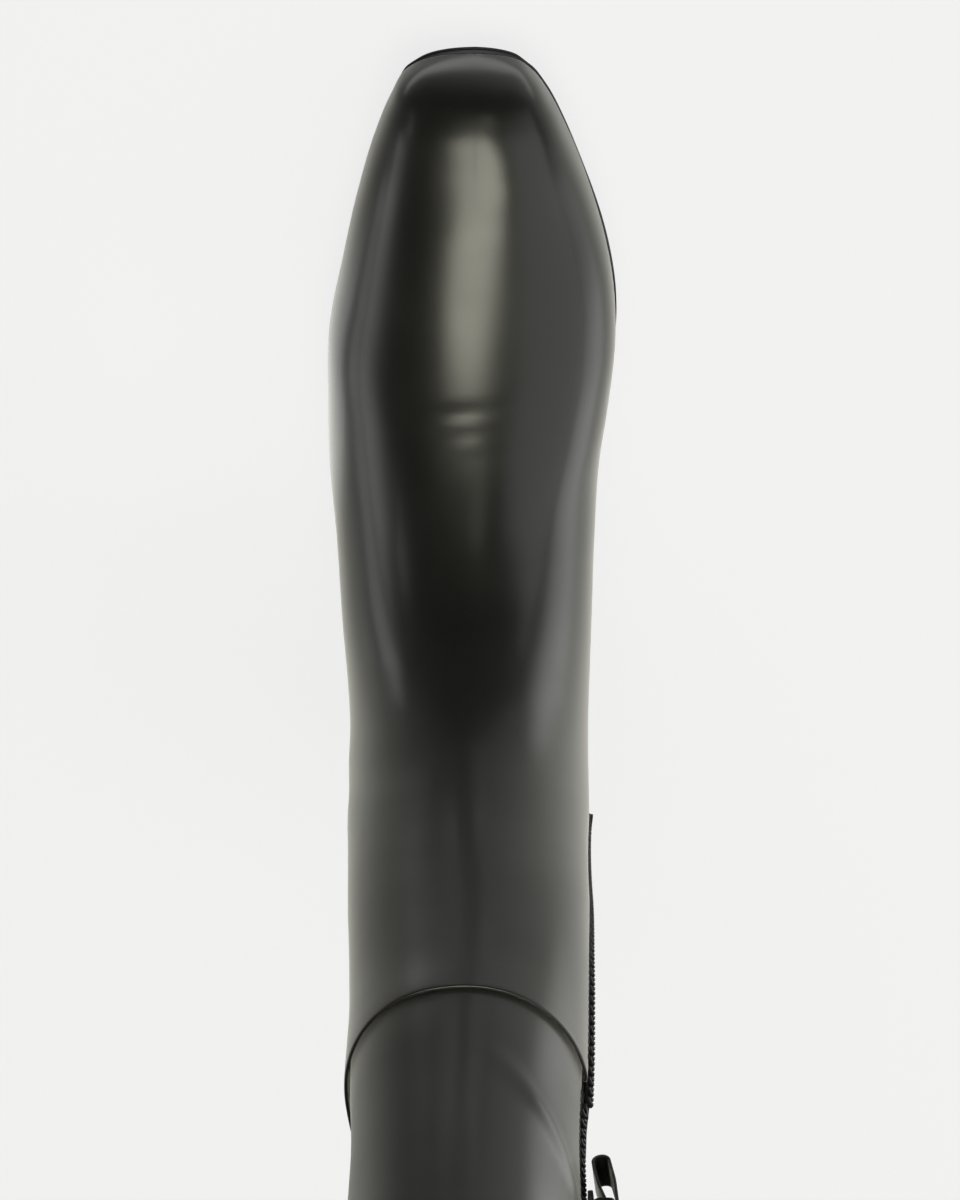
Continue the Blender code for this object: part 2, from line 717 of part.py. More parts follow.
# Slider and pull loop, built in a frame on the zip line: x toward the front, y up the zip, z outward
SLIDER_Z = 306.0
PLATE_WIDE = 9.0
PLATE_TALL = 13.0
PLATE_THICK = 1.6
PLATE_EDGE = 0.35
PLATE_CORNERS = ((-0.5, 0.5), (0.5, 0.5), (0.5, 0.1), (0.22, -0.5), (-0.22, -0.5), (-0.5, 0.1))
BAIL_WIRE = 0.9
BAIL_WIDE = 15.0
BAIL_OUT = 7.6
BAIL_DROP = -5.5
BAIL_ROOT_IN = 1.0
BAIL_ROOT_UP = 4.6
BAIL_KNEE_UP = 5.0
BAIL_KNEE_OUT = 1.8
BAIL_CORNER = 0.4
BAIL_CORNER_BACK = 0.5
LOOP_WIDE = 12.0
LOOP_THICK = 0.8
LOOP_LONG = 20.5
LOOP_PINCH = 1.2
LOOP_BELLY = 2.5
LOOP_LEAN = -8.0
LOOP_PINCH_RUN = 0.2
LOOP_BELLY_RUN = 0.4
LOOP_STEPS = 12
BIGHT_STEPS = 8
FRAME_STEP = 2.0


def zip_frame(height):
    """Placing matrix on the zip line, on the leather's face at a height of the upper shaft."""
    station = station_at(height * BY_HEIGHT)
    share = zip_shares(station, (0.0,))
    inset = upper_inset(height * BY_HEIGHT)
    here = inset_row(station, share, inset)[0]
    higher = (height + FRAME_STEP) * BY_HEIGHT
    above = inset_row(station_at(higher), share, upper_inset(higher))[0]
    up = Vector(above - here).normalized()
    out = Vector(skin_normal(station, share)[0])
    out = (out - up * out.dot(up)).normalized()
    side = up.cross(out)
    turn = Matrix((side, up, out)).transposed().to_4x4()
    return Matrix.Translation(placed(here)) @ turn


def tube(name, spine, radius):
    """A round wire along a spine of points in millimetres, as a mesh object."""
    curve = bpy.data.curves.new(name, "CURVE")
    curve.dimensions = "3D"
    curve.bevel_depth = radius * MM
    curve.bevel_resolution = 2
    curve.use_fill_caps = True
    line = curve.splines.new("POLY")
    line.points.add(len(spine) - 1)
    for point, (x, y, z) in zip(line.points, spine):
        point.co = (x * MM, y * MM, z * MM, 1.0)
    shape = bpy.data.objects.new(name, curve)
    BOOT.objects.link(shape)
    bpy.context.view_layer.update()
    mesh = bpy.data.meshes.new_from_object(shape.evaluated_get(bpy.context.evaluated_depsgraph_get()))
    bpy.data.objects.remove(shape, do_unlink=True)
    work = bmesh.new()
    work.from_mesh(mesh)
    bmesh.ops.remove_doubles(work, verts=work.verts, dist=MERGE)
    bmesh.ops.recalc_face_normals(work, faces=work.faces)
    work.to_mesh(mesh)
    work.free()
    made = bpy.data.objects.new(name, mesh)
    BOOT.objects.link(made)
    return made


def make_slider():
    """The slider's outer plate with its fixed bail."""
    seat = CHAIN_PROUD + FIT_GAP
    corners = [(x * PLATE_WIDE, y * PLATE_TALL) for x, y in PLATE_CORNERS]
    mesh = bpy.data.meshes.new("zip_slider")
    low = [(x * MM, y * MM, seat * MM) for x, y in corners]
    high = [(x * MM, y * MM, (seat + PLATE_THICK) * MM) for x, y in corners]
    count = len(corners)
    faces = [tuple(reversed(range(count))), tuple(range(count, 2 * count))]
    for i in range(count):
        j = (i + 1) % count
        faces.append((i, j, count + j, count + i))
    mesh.from_pydata(low + high, [], faces)
    work = bmesh.new()
    work.from_mesh(mesh)
    bmesh.ops.recalc_face_normals(work, faces=work.faces)
    work.to_mesh(mesh)
    work.free()
    mesh.materials.append(SLIDER)
    made = bpy.data.objects.new("zip_slider", mesh)
    BOOT.objects.link(made)
    edge = made.modifiers.new("edge", "BEVEL")
    edge.width = PLATE_EDGE * MM
    edge.segments = 1
    half = BAIL_WIDE / 2.0
    root = seat + PLATE_THICK / 2.0
    inner = PLATE_WIDE / 2.0 - BAIL_ROOT_IN
    bar = seat + BAIL_OUT
    one_side = [
        (inner, BAIL_ROOT_UP, root),
        (half, BAIL_KNEE_UP, root + BAIL_KNEE_OUT),
        (half, -BAIL_DROP + BAIL_CORNER, bar - BAIL_CORNER_BACK),
        (half - BAIL_CORNER, -BAIL_DROP, bar),
    ]
    spine = [(-x, y, z) for x, y, z in one_side] + one_side[::-1]
    bail = tube("slider_bail", spine, BAIL_WIRE)
    join = made.modifiers.new("bail", "BOOLEAN")
    join.operation = "UNION"
    join.solver = "EXACT"
    join.object = bail
    bpy.context.view_layer.update()
    apply_modifiers(made)
    bpy.data.objects.remove(bail, do_unlink=True)
    made.matrix_world = zip_frame(SLIDER_Z)
    return made


def loop_outline():
    """Middle line of the closed leather loop in the frame's y and z, from the bail round and back."""
    top = BAIL_WIRE + FIT_GAP + LOOP_THICK / 2.0
    slim = LOOP_PINCH + LOOP_THICK / 2.0
    line = []
    for step in range(LOOP_STEPS + 1):
        t = step / LOOP_STEPS
        pinch = float(ease(t / LOOP_PINCH_RUN))
        belly = float(ease((t - LOOP_PINCH_RUN) / LOOP_BELLY_RUN))
        half = top + (slim - top) * pinch + (LOOP_BELLY - slim) * belly
        line.append((-t * LOOP_LONG, half))
    for step in range(1, BIGHT_STEPS):
        turn = math.pi * step / BIGHT_STEPS
        line.append((-LOOP_LONG - LOOP_BELLY * math.sin(turn), LOOP_BELLY * math.cos(turn)))
    line.extend((y, -half) for y, half in reversed(line[:LOOP_STEPS + 1]))
    for step in range(1, BIGHT_STEPS):
        turn = math.pi * step / BIGHT_STEPS
        line.append((top * math.sin(turn), -top * math.cos(turn)))
    return line


def make_pull_loop():
    """The folded leather strip through the bail."""
    line = loop_outline()
    lean = math.radians(LOOP_LEAN)
    bar_y = -BAIL_DROP
    bar_z = CHAIN_PROUD + FIT_GAP + BAIL_OUT
    points = []
    for x in (-LOOP_WIDE / 2.0, LOOP_WIDE / 2.0):
        for y, z in line:
            turned_y = bar_y + y * math.cos(lean) - z * math.sin(-lean)
            turned_z = bar_z + y * math.sin(-lean) + z * math.cos(lean)
            points.append((x * MM, turned_y * MM, turned_z * MM))
    count = len(line)
    faces = []
    for i in range(count):
        j = (i + 1) % count
        faces.append((i, j, count + j, count + i))
    mesh = bpy.data.meshes.new("pull_loop")
    mesh.from_pydata(points, [], faces)
    work = bmesh.new()
    work.from_mesh(mesh)
    bmesh.ops.recalc_face_normals(work, faces=work.faces)
    work.to_mesh(mesh)
    work.free()
    mesh.materials.append(LEATHER)
    made = bpy.data.objects.new("pull_loop", mesh)
    BOOT.objects.link(made)
    wall = thicken(made, LOOP_THICK)
    wall.offset = 0.0
    made.matrix_world = zip_frame(SLIDER_Z)
    return made


make_slider()
make_pull_loop()
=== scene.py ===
# %% [markdown]
# # A slouch boot, dressed
# The boot is a tall left boot of smooth black leather. It has a soft square toe, a low heel, a zip up
# its inner side and one rolled tuck round the shaft. The imported part already holds each solid at its
# real size. Here every solid is dressed with a finer surface of the same form, so loading the part
# comes first. The dressed boot has to stay inside it.

# %% Load the imported boot
import json
import math
from collections import namedtuple

import bmesh
import bpy
import numpy as np
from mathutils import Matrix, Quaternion, Vector, noise
from mathutils.kdtree import KDTree

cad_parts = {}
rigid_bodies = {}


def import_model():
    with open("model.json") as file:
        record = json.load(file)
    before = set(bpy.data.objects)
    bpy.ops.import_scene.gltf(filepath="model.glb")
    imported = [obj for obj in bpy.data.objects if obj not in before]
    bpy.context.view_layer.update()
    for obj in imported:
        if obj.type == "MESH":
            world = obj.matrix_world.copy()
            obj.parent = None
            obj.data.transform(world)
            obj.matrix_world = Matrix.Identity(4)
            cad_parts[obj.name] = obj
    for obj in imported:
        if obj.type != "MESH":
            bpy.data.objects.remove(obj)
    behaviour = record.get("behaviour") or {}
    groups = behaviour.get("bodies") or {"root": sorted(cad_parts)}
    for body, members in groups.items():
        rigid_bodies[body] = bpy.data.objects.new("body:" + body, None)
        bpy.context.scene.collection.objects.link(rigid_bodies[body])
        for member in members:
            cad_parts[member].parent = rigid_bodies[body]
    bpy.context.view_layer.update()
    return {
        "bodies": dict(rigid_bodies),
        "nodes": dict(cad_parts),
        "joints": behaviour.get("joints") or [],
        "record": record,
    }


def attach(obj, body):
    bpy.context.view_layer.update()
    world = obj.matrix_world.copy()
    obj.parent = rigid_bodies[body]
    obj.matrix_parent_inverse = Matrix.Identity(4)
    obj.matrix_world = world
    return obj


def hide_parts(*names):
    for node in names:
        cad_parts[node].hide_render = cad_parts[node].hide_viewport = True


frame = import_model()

MM = 0.001

# %% [markdown]
# ## The camera
# The photograph looks down at the boot from in front of its toe, and then the picture is turned half
# way round, so that the toe points up. A long lens keeps the shaft from spreading. The lens length
# follows from how many pixels of the 1200 pixel high picture one radian covers, which is easier to
# measure than a lens.

# %% Camera
PHOTO_TALL = 1200
PIXELS_PER_RADIAN = 6800.0
SENSOR_MM = 36.0
CAMERA_FAR = 2.15
CAMERA_UP = math.radians(57.0)
CAMERA_SIDE = math.radians(0.5)
LOOK_AT = Vector((-0.003, -0.09627, 0.09983))


def toward_camera(side, up):
    """Unit vector from the boot to a camera in front of the toe, moved to the side and up."""
    return Vector((math.sin(side) * math.cos(up), -math.cos(side) * math.cos(up), math.sin(up)))


def place_camera():
    """The photograph's camera, rolled half a turn."""
    lens = bpy.data.cameras.new("photo_camera")
    lens.sensor_width = SENSOR_MM
    lens.lens = PIXELS_PER_RADIAN / PHOTO_TALL * SENSOR_MM
    camera = bpy.data.objects.new("photo_camera", lens)
    bpy.context.scene.collection.objects.link(camera)
    back = toward_camera(CAMERA_SIDE, CAMERA_UP)
    camera.location = LOOK_AT + back * CAMERA_FAR
    camera.rotation_mode = "QUATERNION"
    camera.rotation_quaternion = (-back).to_track_quat("-Z", "Y") @ Quaternion((0.0, 0.0, 1.0), math.pi)
    bpy.context.scene.camera = camera
    return camera


camera = place_camera()
print("camera at", [round(value, 3) for value in camera.location], "lens", round(camera.data.lens, 1), "mm")

# %% [markdown]
# ## Floor and backdrop
# Black polished leather shows little of its own colour: nearly all that is seen on it is its
# surroundings. So the studio is part of the look. The floor is pale and glows a little, as a lit table
# does, which keeps the shadow faint. The backdrop is a turned profile, wide enough that a camera on any
# side stands inside it. Both are for the eye alone and are kept out of the leather's reflections, which
# get a sheet of their own below.

# %% Floor and backdrop
FLOOR_Z = -0.0003
FLOOR_RADIUS = 9.0
COVE_RADIUS = 0.8
BACKDROP_TALL = 9.0
COVE_STEPS = 12
TURN_STEPS = 96
FLOOR_GREY = 0.12
FLOOR_GLOW = 0.81
BACKDROP_GLOW = 0.84


def glowing_paper(name, grey, glow):
    """Matt paper that also gives off a little light."""
    made = bpy.data.materials.new(name)
    made.use_nodes = True
    shader = made.node_tree.nodes["Principled BSDF"]
    shader.inputs["Base Color"].default_value = (grey, grey, grey, 1.0)
    shader.inputs["Roughness"].default_value = 0.9
    shader.inputs["Specular IOR Level"].default_value = 0.1
    shader.inputs["Emission Color"].default_value = (1.0, 1.0, 1.0, 1.0)
    shader.inputs["Emission Strength"].default_value = glow
    return made


def turned_stage(name, profile, paper):
    """A stage piece turned from a profile of radius and height."""
    mesh = bpy.data.meshes.new(name)
    points = [(radius, 0.0, height) for radius, height in profile]
    mesh.from_pydata(points, [(i, i + 1) for i in range(len(points) - 1)], [])
    mesh.materials.append(paper)
    item = bpy.data.objects.new(name, mesh)
    bpy.context.scene.collection.objects.link(item)
    turn = item.modifiers.new("turn", "SCREW")
    turn.steps = TURN_STEPS
    turn.render_steps = TURN_STEPS
    turn.use_merge_vertices = True
    return item


cove = []
for step in range(COVE_STEPS + 1):
    bend = math.pi / 2.0 * step / COVE_STEPS
    cove.append((FLOOR_RADIUS + COVE_RADIUS * math.sin(bend), FLOOR_Z + COVE_RADIUS * (1.0 - math.cos(bend))))
cove.append((FLOOR_RADIUS + COVE_RADIUS, BACKDROP_TALL))
floor_line = [(0.0, FLOOR_Z), (FLOOR_RADIUS, FLOOR_Z)]
floor = turned_stage("floor", floor_line, glowing_paper("floor_paper", FLOOR_GREY, FLOOR_GLOW))
backdrop = turned_stage("backdrop", cove, glowing_paper("backdrop_paper", 0.0, BACKDROP_GLOW))
floor.visible_glossy = False
backdrop.visible_glossy = False
backdrop.visible_diffuse = False
print("floor radius", FLOOR_RADIUS, "m, backdrop", BACKDROP_TALL, "m tall")

# %% [markdown]
# ## Cards of graded light
# A photographer lights a glossy object with cards and cloths: bright in the middle, fading to the edge,
# so that no reflection has a hard border. Each card here is a flat sheet that glows from a core value
# to a rim value, with its own softness on each of its four sides. Lamps would do for lighting, but only
# a sheet with a gradient gives the leather a stripe that fades in and out as in the photograph.

# %% Card maker
Card = namedtuple("Card", "name place aim turn wide tall core rim soft tint")
PLAIN_TINT = (1.0, 1.0, 1.0)


def fade_from_edge(tree, source, edge, full):
    """A value that goes from zero at an edge to one further in."""
    made = tree.nodes.new("ShaderNodeMapRange")
    made.interpolation_type = "SMOOTHSTEP"
    made.inputs["From Min"].default_value = edge
    made.inputs["From Max"].default_value = full
    tree.links.new(source, made.inputs["Value"])
    return made.outputs["Result"]


def times(tree, first, second):
    """The product of two values."""
    made = tree.nodes.new("ShaderNodeMath")
    made.operation = "MULTIPLY"
    tree.links.new(first, made.inputs[0])
    tree.links.new(second, made.inputs[1])
    return made.outputs["Value"]


def graded_glow(row):
    """A glow that goes from the card's rim value to its core value."""
    made = bpy.data.materials.new(row.name + "_glow")
    made.use_nodes = True
    tree = made.node_tree
    place = tree.nodes.new("ShaderNodeTexCoord")
    split = tree.nodes.new("ShaderNodeSeparateXYZ")
    tree.links.new(place.outputs["Object"], split.inputs["Vector"])
    across, up = row.wide / 2.0, row.tall / 2.0
    left, right, low, high = row.soft
    fade = fade_from_edge(tree, split.outputs["X"], -across, left - across)
    fade = times(tree, fade, fade_from_edge(tree, split.outputs["X"], across, across - right))
    fade = times(tree, fade, fade_from_edge(tree, split.outputs["Y"], -up, low - up))
    fade = times(tree, fade, fade_from_edge(tree, split.outputs["Y"], up, up - high))
    level = tree.nodes.new("ShaderNodeMapRange")
    level.inputs["To Min"].default_value = row.rim
    level.inputs["To Max"].default_value = row.core
    tree.links.new(fade, level.inputs["Value"])
    shader = tree.nodes["Principled BSDF"]
    shader.inputs["Base Color"].default_value = (0.0, 0.0, 0.0, 1.0)
    shader.inputs["Specular IOR Level"].default_value = 0.0
    shader.inputs["Emission Color"].default_value = (*row.tint, 1.0)
    tree.links.new(level.outputs["Result"], shader.inputs["Emission Strength"])
    return made


def hang_card(row):
    """A card in its place, facing a point, out of the camera's sight."""
    mesh = bpy.data.meshes.new(row.name)
    across, up = row.wide / 2.0, row.tall / 2.0
    corners = [(-across, -up, 0.0), (across, -up, 0.0), (across, up, 0.0), (-across, up, 0.0)]
    mesh.from_pydata(corners, [], [(0, 1, 2, 3)])
    mesh.materials.append(graded_glow(row))
    item = bpy.data.objects.new(row.name, mesh)
    bpy.context.scene.collection.objects.link(item)
    item.location = row.place
    item.rotation_mode = "QUATERNION"
    facing = (Vector(row.aim) - Vector(row.place)).to_track_quat("-Z", "Y")
    item.rotation_quaternion = facing @ Quaternion((0.0, 0.0, 1.0), math.radians(row.turn))
    item.visible_camera = False
    return item


print("cards are ready to hang")

# %% [markdown]
# ## Lights
# One sheet over the toe makes the pale stripe down the vamp. It hangs a little askew, so the stripe
# drifts as it runs back, and a small sheet in front of it lights the end of the toe. A broad dim panel
# on the zip side lifts the right half of the picture, and two low ones on the outer side light the
# flank and the vamp. A dark boot mostly shows what it mirrors, so the second list is seen by
# reflections only. Dim sheets deep under the floor stand for a floor that falls off into the dark,
# which leaves the middle of the shaft black. Upright cards at the floor's edge, the wells, brighten the
# sides of the shaft, and patches beside the waist and before the toe draw the bright edges there. No
# card casts a shadow on the floor that the camera sees. The picture is shown without a film look, so
# that a tone can be compared with the photograph as a number.

# %% Lights
STRIPE_TINT = (1.0, 0.985, 0.86)
ROOM_GREY = 0.02
LIGHT_CARDS = [
    Card("stripe_sheet", (0.011, -0.17, 1.3), (0.011, -0.17, 0.0), 28.0, 0.74, 1.0, 7.6, 0.0,
         (0.29, 0.29, 0.34, 0.2), STRIPE_TINT),
    Card("toe_sheet", (-0.15, -0.85, 1.2), (-0.1, -0.2, 0.05), 0.0, 0.6, 0.6, 0.9, 0.0,
         (0.25, 0.25, 0.25, 0.25), STRIPE_TINT),
    Card("zip_side_panel", (-1.14, -0.15, 1.02), (0.11, -0.12, 0.22), 0.0, 2.0, 2.0, 1.0, 0.0,
         (0.3, 0.6, 0.05, 0.6), PLAIN_TINT),
    Card("outer_side_panel", (1.0, 0.25, 0.31), (0.0, 0.25, 0.31), 0.0, 1.1, 0.62, 1.9, 0.0,
         (0.25, 0.4, 0.12, 0.50), PLAIN_TINT),
    Card("outer_front_panel", (1.02, -0.3, 0.45), (0.0, -0.3, 0.45), 0.0, 0.6, 0.42, 1.3, 0.0,
         (0.25, 0.25, 0.15, 0.25), PLAIN_TINT),
]
MIRROR_CARDS = [
    Card("deep_sheet_outer", (1.0, -0.1, -0.35), (1.0, -0.1, -1.0), 0.0, 2.0, 3.0, 0.08, 0.08,
         (0.1, 0.1, 0.1, 0.1), PLAIN_TINT),
    Card("deep_sheet_zip", (-1.0, -0.1, -0.35), (-1.0, -0.1, -1.0), 0.0, 2.0, 3.0, 0.32, 0.08,
         (0.1, 0.3, 0.1, 0.1), PLAIN_TINT),
    Card("well_outer", (0.35, 0.265, -0.05), (0.0, 0.265, -0.05), 0.0, 0.57, 0.22, 1.4, 0.08,
         (0.20, 0.3, 0.12, 0.02), PLAIN_TINT),
    Card("well_outer_front", (0.352, -0.10, 0.01), (0.0, -0.10, 0.01), 0.0, 0.16, 0.10, 1.4, 0.08,
         (0.08, 0.01, 0.03, 0.02), PLAIN_TINT),
    Card("well_zip", (-0.35, 0.175, -0.045), (0.0, 0.175, -0.045), 0.0, 0.75, 0.25, 1.8, 0.3,
         (0.3, 0.15, 0.12, 0.03), PLAIN_TINT),
    Card("edge_patch_outer", (0.095, -0.12, -0.0002), (0.095, -0.12, -1.0), 0.0, 0.11, 0.14, 1.35, 0.1,
         (0.01, 0.04, 0.07, 0.04), PLAIN_TINT),
    Card("edge_patch_toe", (0.0, -0.266, -0.0002), (0.0, -0.266, -1.0), 0.0, 0.24, 0.024, 1.7, 0.08,
         (0.08, 0.08, 0.012, 0.004), PLAIN_TINT),
]

room = bpy.data.worlds.new("dark_room")
room.use_nodes = True
room.node_tree.nodes["Background"].inputs["Color"].default_value = (ROOM_GREY, ROOM_GREY, ROOM_GREY, 1.0)
bpy.context.scene.world = room
bpy.context.scene.view_settings.view_transform = "Standard"
for row in LIGHT_CARDS:
    hang_card(row)
for row in MIRROR_CARDS:
    mirror_card = hang_card(row)
    mirror_card.visible_diffuse = False
    mirror_card.visible_shadow = False
print("cards:", [row.name for row in LIGHT_CARDS + MIRROR_CARDS])

# %% [markdown]
# ## The last, as a table of sections
# A shoemaker builds on a last, a solid foot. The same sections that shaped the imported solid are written
# here again, in millimetres, because a fine surface needs the rule and not its coarse result. Each row
# is one egg-shaped cut: where its top and its keel lie behind the toe, how wide it is on each side,
# where it is widest, how square it is above and below, and how far it is turned outward.

# %% Sections of the last
Section = namedtuple(
    "Section", "top_at top_z keel_at keel_z medial lateral widest top_round keel_round twist"
)
SECTIONS = [
    Section(0.2, 14.5, 0.4, 3.0, 0.0, 0.0, 0.3, 2.0, 2.0, 0.0),
    Section(1.6, 25.0, 3.0, -2.0, 12.6, 14.4, 0.27, 2.3, 2.0, 0.0),
    Section(5.5, 33.5, 8.2, -7.0, 18.9, 22.4, 0.343, 2.4, 2.0, 0.0),
    Section(14.0, 39.8, 16.8, -13.0, 24.5, 26.9, 0.382, 2.4, 2.0, 0.0),
    Section(28.0, 44.2, 30.0, -17.0, 30.6, 31.6, 0.425, 2.35, 2.0, 0.0),
    Section(50.0, 49.0, 50.0, -20.0, 38.1, 37.0, 0.454, 2.25, 2.0, 0.0),
    Section(75.0, 56.0, 76.0, -29.0, 44.4, 42.1, 0.424, 2.16, 2.0, 0.0),
    Section(98.0, 65.0, 100.0, -42.0, 46.1, 46.1, 0.392, 2.09, 2.0, 0.0),
    Section(116.0, 74.0, 122.0, -43.0, 44.4, 46.3, 0.413, 2.04, 2.0, 0.0),
    Section(132.0, 84.0, 150.0, -38.0, 41.6, 45.8, 0.437, 2.01, 2.0, 0.0),
    Section(146.0, 95.0, 181.0, -14.0, 40.1, 43.3, 0.47, 2.0, 2.0, 0.15),
    Section(157.0, 106.5, 216.0, 5.0, 39.5, 41.3, 0.48, 2.0, 2.0, 0.9),
    Section(166.0, 119.0, 249.0, 4.0, 39.0, 39.3, 0.447, 2.0, 1.99, 1.95),
    Section(172.0, 130.5, 269.0, 9.0, 38.8, 38.4, 0.447, 2.0, 1.98, 2.7),
    Section(176.0, 140.5, 274.6, 20.5, 38.8, 38.7, 0.468, 2.005, 1.95, 3.25),
    Section(178.6, 149.0, 277.0, 34.0, 38.9, 38.4, 0.48, 2.015, 1.93, 3.8),
    Section(181.0, 159.0, 278.6, 52.0, 39.0, 38.5, 0.47, 2.03, 1.92, 4.45),
    Section(183.2, 171.0, 277.4, 75.0, 38.6, 37.9, 0.45, 2.05, 1.94, 5.25),
    Section(184.8, 184.0, 273.8, 102.0, 38.5, 37.4, 0.44, 2.08, 1.98, 6.15),
    Section(186.0, 198.0, 271.4, 132.0, 38.9, 36.9, 0.43, 2.11, 2.03, 7.0),
    Section(187.0, 213.0, 272.4, 164.0, 39.0, 36.0, 0.42, 2.13, 2.09, 7.6),
    Section(187.6, 228.0, 276.8, 197.0, 39.1, 35.4, 0.42, 2.145, 2.15, 7.95),
    Section(188.0, 241.0, 282.4, 227.0, 38.6, 35.5, 0.42, 2.15, 2.19, 8.0),
    Section(188.0, 254.0, 288.0, 254.0, 37.8, 35.7, 0.42, 2.15, 2.2, 8.0),
    Section(187.8, 276.0, 293.0, 276.0, 37.1, 35.0, 0.42, 2.15, 2.2, 8.0),
    Section(187.0, 316.0, 298.0, 316.0, 37.5, 35.8, 0.43, 2.15, 2.2, 8.0),
    Section(185.0, 386.0, 301.0, 386.0, 38.8, 37.4, 0.44, 2.15, 2.2, 8.0),
]
HEEL_TURN = 15
RIM_ROW = 23
ROWS = np.array(SECTIONS)
moves = np.diff(ROWS, axis=0)
row_runs = (np.hypot(moves[:, 0], moves[:, 1]) + np.hypot(moves[:, 2], moves[:, 3])) / 2.0
KNOTS = np.concatenate([[0.0], np.cumsum(row_runs)])
print(len(SECTIONS), "sections over", round(KNOTS[-1]), "mm from toe tip to collar")

# %% [markdown]
# ## Smooth curves between the sections
# Straight runs between the rows would show as bands in the shine. A cubic that passes through each row,
# with a slope worked out from its neighbours, has no such bands. The sole's own heights come in here as
# well, because the leather is cut off along the feather line, where it meets the sole.

# %% Curves and the feather line
LEVEL_STARTS = (0, 2)
SOLE_THICK = 5.0
FEATHER_GAP = 0.4
TOE_SPRING = 9.0
HEEL_HEIGHT = 25.0
TREAD_FRONT = 45.0
TREAD_BACK = 128.0
BREAST_AT = 218.0


def smooth_curve(knots, rows, at, level_starts=()):
    """Values of a smooth curve through the rows; the columns named start with no slope."""
    steps = np.diff(knots)[:, None]
    chords = np.diff(rows, axis=0) / steps
    slopes = np.empty_like(rows)
    slopes[1:-1] = (chords[:-1] * steps[1:] + chords[1:] * steps[:-1]) / (steps[1:] + steps[:-1])
    slopes[0] = chords[0]
    slopes[-1] = chords[-1]
    for column in level_starts:
        slopes[0, column] = 0.0
    at = np.clip(np.asarray(at, float), knots[0], knots[-1])
    low = np.clip(np.searchsorted(knots, at, side="right") - 1, 0, len(knots) - 2)
    span = steps[low]
    t = (at - knots[low])[:, None] / span
    start = (2 * t ** 3 - 3 * t ** 2 + 1) * rows[low] + (t ** 3 - 2 * t ** 2 + t) * slopes[low] * span
    end = (3 * t ** 2 - 2 * t ** 3) * rows[low + 1] + (t ** 3 - t ** 2) * slopes[low + 1] * span
    return start + end


def section_at(stations):
    """Section values at stations along the last."""
    return smooth_curve(KNOTS, ROWS, stations, LEVEL_STARTS)


def ease(t):
    """Zero to one, level at both ends."""
    t = np.clip(t, 0.0, 1.0)
    return t * t * (3.0 - 2.0 * t)


def tread_z(at):
    """Height of the sole's underside: toe spring, flat forefoot, waist, heel seat."""
    at = np.asarray(at, float)
    spring = TOE_SPRING * (np.clip(TREAD_FRONT - at, 0.0, None) / TREAD_FRONT) ** 2
    return spring + HEEL_HEIGHT * ease((at - TREAD_BACK) / (BREAST_AT - TREAD_BACK))


def feather_z(at):
    """Height of the line where the leather meets the sole."""
    return tread_z(at) + SOLE_THICK + FEATHER_GAP


print("feather line at toe, ball and heel, mm:", np.round(feather_z([0.0, 90.0, 250.0]), 1))

# %% [markdown]
# ## The skin of the last
# A point of the leather is named by its station, from the toe tip to the collar, and its share, from -1
# at the inner foot over 0 along the front to 1 at the outer foot. Below the ankle the sections stop at
# the feather line. Above it they close at the back, and there the shares -1 and 1 meet in the back
# seam.

# %% Skin of the last
SIDE_SAMPLES = 480
TWIST_RISE = 110.0
EVEN_SHARE = 0.6
EVEN_FROM = 11
EVEN_TO = 14


def running_length(points):
    """Length run along a line of points."""
    return np.concatenate([[0.0], np.cumsum(np.linalg.norm(np.diff(points, axis=0), axis=1))])


def heel_closing():
    """Station where the keel comes up through the feather line and the sections close."""
    stations = np.linspace(KNOTS[HEEL_TURN - 1], KNOTS[HEEL_TURN], SIDE_SAMPLES)
    rows = section_at(stations)
    return float(np.interp(0.0, rows[:, 3] - feather_z(rows[:, 2]), stations))


OPEN_END = heel_closing()


def cut_at_feather(points):
    """The stretch of a section's side above the feather line, ended on that line."""
    clear = points[:, 2] - feather_z(points[:, 1])
    below = np.nonzero(clear < 0.0)[0]
    if len(below) == 0:
        return points
    if below[0] == 0:
        return np.repeat(points[:1], 2, axis=0)
    first = below[0]
    share = clear[first - 1] / (clear[first - 1] - clear[first])
    end = points[first - 1] + share * (points[first] - points[first - 1])
    return np.vstack([points[:first], end])


def section_side(station, side):
    """Points down one side of a section, the run along them, and the length that shares out columns."""
    cut = section_at([station])[0]
    top_at, top_z, keel_at, keel_z, medial, lateral, widest, top_round, keel_round, twist = cut
    half = medial if side < 0 else lateral
    turn = np.linspace(0.0, math.pi, SIDE_SAMPLES)
    upper_half = turn <= math.pi / 2.0
    power = np.where(upper_half, 2.0 / top_round, 2.0 / keel_round)
    out = half * np.abs(np.sin(turn)) ** power
    fall = np.abs(np.cos(turn)) ** power
    down = np.where(upper_half, widest * (1.0 - fall), widest + (1.0 - widest) * fall)
    back = top_at + down * (keel_at - top_at)
    points = np.stack([side * out, back, top_z + down * (keel_z - top_z)], axis=1)
    whole = running_length(points)[-1]
    if station < OPEN_END:
        points = cut_at_feather(points)
    run = running_length(points)
    closing = ease((station - KNOTS[EVEN_FROM]) / (KNOTS[EVEN_TO] - KNOTS[EVEN_FROM]))
    even = run[-1] + closing * (whole - run[-1])
    middle = (top_at + keel_at) / 2.0
    angle = math.radians(twist) * ease((points[:, 2] - feather_z(points[:, 1])) / TWIST_RISE)
    across = points[:, 0] * np.cos(angle) - (points[:, 1] - middle) * np.sin(angle)
    along = points[:, 0] * np.sin(angle) + (points[:, 1] - middle) * np.cos(angle) + middle
    return np.stack([across, along, points[:, 2]], axis=1), run, even


